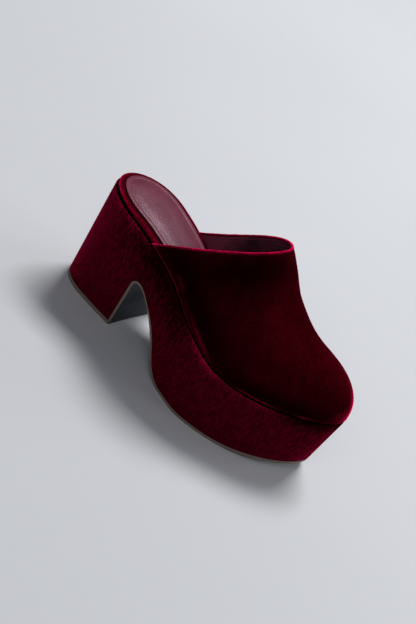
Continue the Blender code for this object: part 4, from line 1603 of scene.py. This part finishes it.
    def build(self) -> None:
        """Velvet and lining."""
        velvet = self.shell("upper_velvet", 0.0, 0.0, self.pile, self.roll, self.roll_swell)
        ruffle(velvet, self.ruffle_depth, self.ruffle_pitch)
        finish_piece(velvet, [UPPER_VELVET.material()], ("upper",))
        under = self.pile + self.lining_gap
        lining = self.shell("upper_lining", self.turn_in, under, self.wall, (self.wall - under) / 2)
        finish_piece(lining, [LINING_LEATHER.material()])


@dataclass(frozen=True)
class Lamp:
    """A soft rectangular light: its direction and distance from the shoe, its width and height, its watts."""
    name: str
    direction: tuple
    distance: float
    size: tuple
    power: float


@dataclass
class Studio:
    """A plain pale floor, soft light and the camera at the photo's angle to the shoe."""
    last: Last
    azimuth: float = 22.29
    elevation: float = 31.12
    roll: float = 33.05
    focal_px: float = 1466.25
    frame_px: float = 624.0
    sensor_mm: float = 36.0
    aim: tuple = (0.120, 0.0, 0.045)
    distance: float = 1.09417
    slide_right: float = 0.00343
    slide_up: float = 0.00841
    floor_size: float = 6.0
    floor_colour: tuple = (0.50, 0.51, 0.53)
    floor_cloud: float = 0.96
    floor_roughness: float = 0.8
    sky_colour: tuple = (0.80, 0.86, 1.0)
    sky_strength: float = 0.16
    lamps: tuple = (
        Lamp("key", (-0.09, 0.50, 0.86), 3.0, (1.2, 0.9), 95.0),
        Lamp("rim", (0.62, 0.74, 0.26), 2.4, (1.0, 0.6), 13.5),
        Lamp("fill", (0.2, -0.8, 0.75), 2.2, (1.2, 1.2), 9.0),
        Lamp("toe", (0.95, 0.35, 0.45), 2.0, (0.6, 1.0), 5.0),
    )

    def axes(self) -> tuple:
        """The rolled camera's own axes.

        Returns:
            Its right, up and back directions.
        """
        around = math.radians(self.azimuth)
        above = math.radians(self.elevation)
        turn = math.radians(self.roll)
        level = math.cos(above)
        back = Vector((math.sin(around) * level, -math.cos(around) * level, math.sin(above)))
        right = Vector((math.cos(around), math.sin(around), 0.0))
        up = back.cross(right)
        rolled_right = right * math.cos(turn) + up * math.sin(turn)
        rolled_up = up * math.cos(turn) - right * math.sin(turn)
        return rolled_right, rolled_up, back

    def centre(self) -> Vector:
        """The point that the camera is set up on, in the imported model's frame."""
        return Vector(self.last.placed(np.array(self.aim)))

    def build_camera(self) -> None:
        """The camera, with the photo's focal length."""
        right, up, back = self.axes()
        data = bpy.data.cameras.new("camera")
        data.sensor_width = self.sensor_mm
        data.lens = self.focal_px * self.sensor_mm / self.frame_px
        camera = bpy.data.objects.new("camera", data)
        place = self.centre() + back * self.distance + right * self.slide_right + up * self.slide_up
        camera.matrix_world = Matrix.Translation(place) @ Matrix((right, up, back)).transposed().to_4x4()
        bpy.context.scene.collection.objects.link(camera)
        bpy.context.scene.camera = camera

    def build_lamp(self, lamp: Lamp) -> None:
        """A soft light aimed at the shoe.

        Args:
            lamp: its place, size and power.
        """
        data = bpy.data.lights.new(lamp.name, "AREA")
        data.shape = "RECTANGLE"
        data.size, data.size_y = lamp.size
        data.energy = lamp.power
        light = bpy.data.objects.new(lamp.name, data)
        away = Vector(lamp.direction).normalized()
        light.location = self.centre() + away * lamp.distance
        light.rotation_mode = "QUATERNION"
        light.rotation_quaternion = away.to_track_quat("Z", "Y")
        bpy.context.scene.collection.objects.link(light)

    def build_floor(self) -> None:
        """The floor, a wide plane with a faint unevenness of tone."""
        bm = bmesh.new()
        bmesh.ops.create_grid(bm, x_segments=1, y_segments=1, size=self.floor_size / 2)
        floor = mesh_piece("floor", bm)
        material, tree, shader = new_material("floor_paint")
        speckle = group_node(tree, Effects.speckle(), {"Speck Scale": 800.0, "Cloud Scale": 2.0})
        cloud = tuple(self.floor_cloud * c for c in self.floor_colour)
        tree.feed(shader.inputs["Base Color"], tree.mix(speckle.outputs["Cloud"], self.floor_colour, cloud))
        shader.inputs["Roughness"].default_value = self.floor_roughness
        floor.data.materials.append(material)

    def build(self) -> None:
        """Camera, floor, lights and surroundings."""
        self.build_camera()
        self.build_floor()
        for lamp in self.lamps:
            self.build_lamp(lamp)
        world = bpy.data.worlds.new("surroundings")
        world.use_nodes = True
        sky = world.node_tree.nodes["Background"].inputs
        sky["Color"].default_value = (*self.sky_colour, 1.0)
        sky["Strength"].default_value = self.sky_strength
        bpy.context.scene.world = world
        bpy.context.scene.view_settings.view_transform = "Standard"


def standing_last() -> Last:
    """The last that every piece stands on.

    Returns:
        The last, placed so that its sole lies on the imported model's.
    """
    plain = Last()
    low_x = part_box("sole_unit")[0].x
    low_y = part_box("outsole")[0].y - Sole(plain).tread_loop()[:, 1].min()
    return Last(shift=(low_x, low_y))


def main() -> None:
    """Build and dress every piece in order."""
    logging.basicConfig(level=logging.INFO, format="%(name)s: %(message)s")
    last = standing_last()
    for assembly in (Sole(last), Insole(last), Upper(last), Studio(last)):
        assembly.build()


if __name__ == "__main__":
    main()
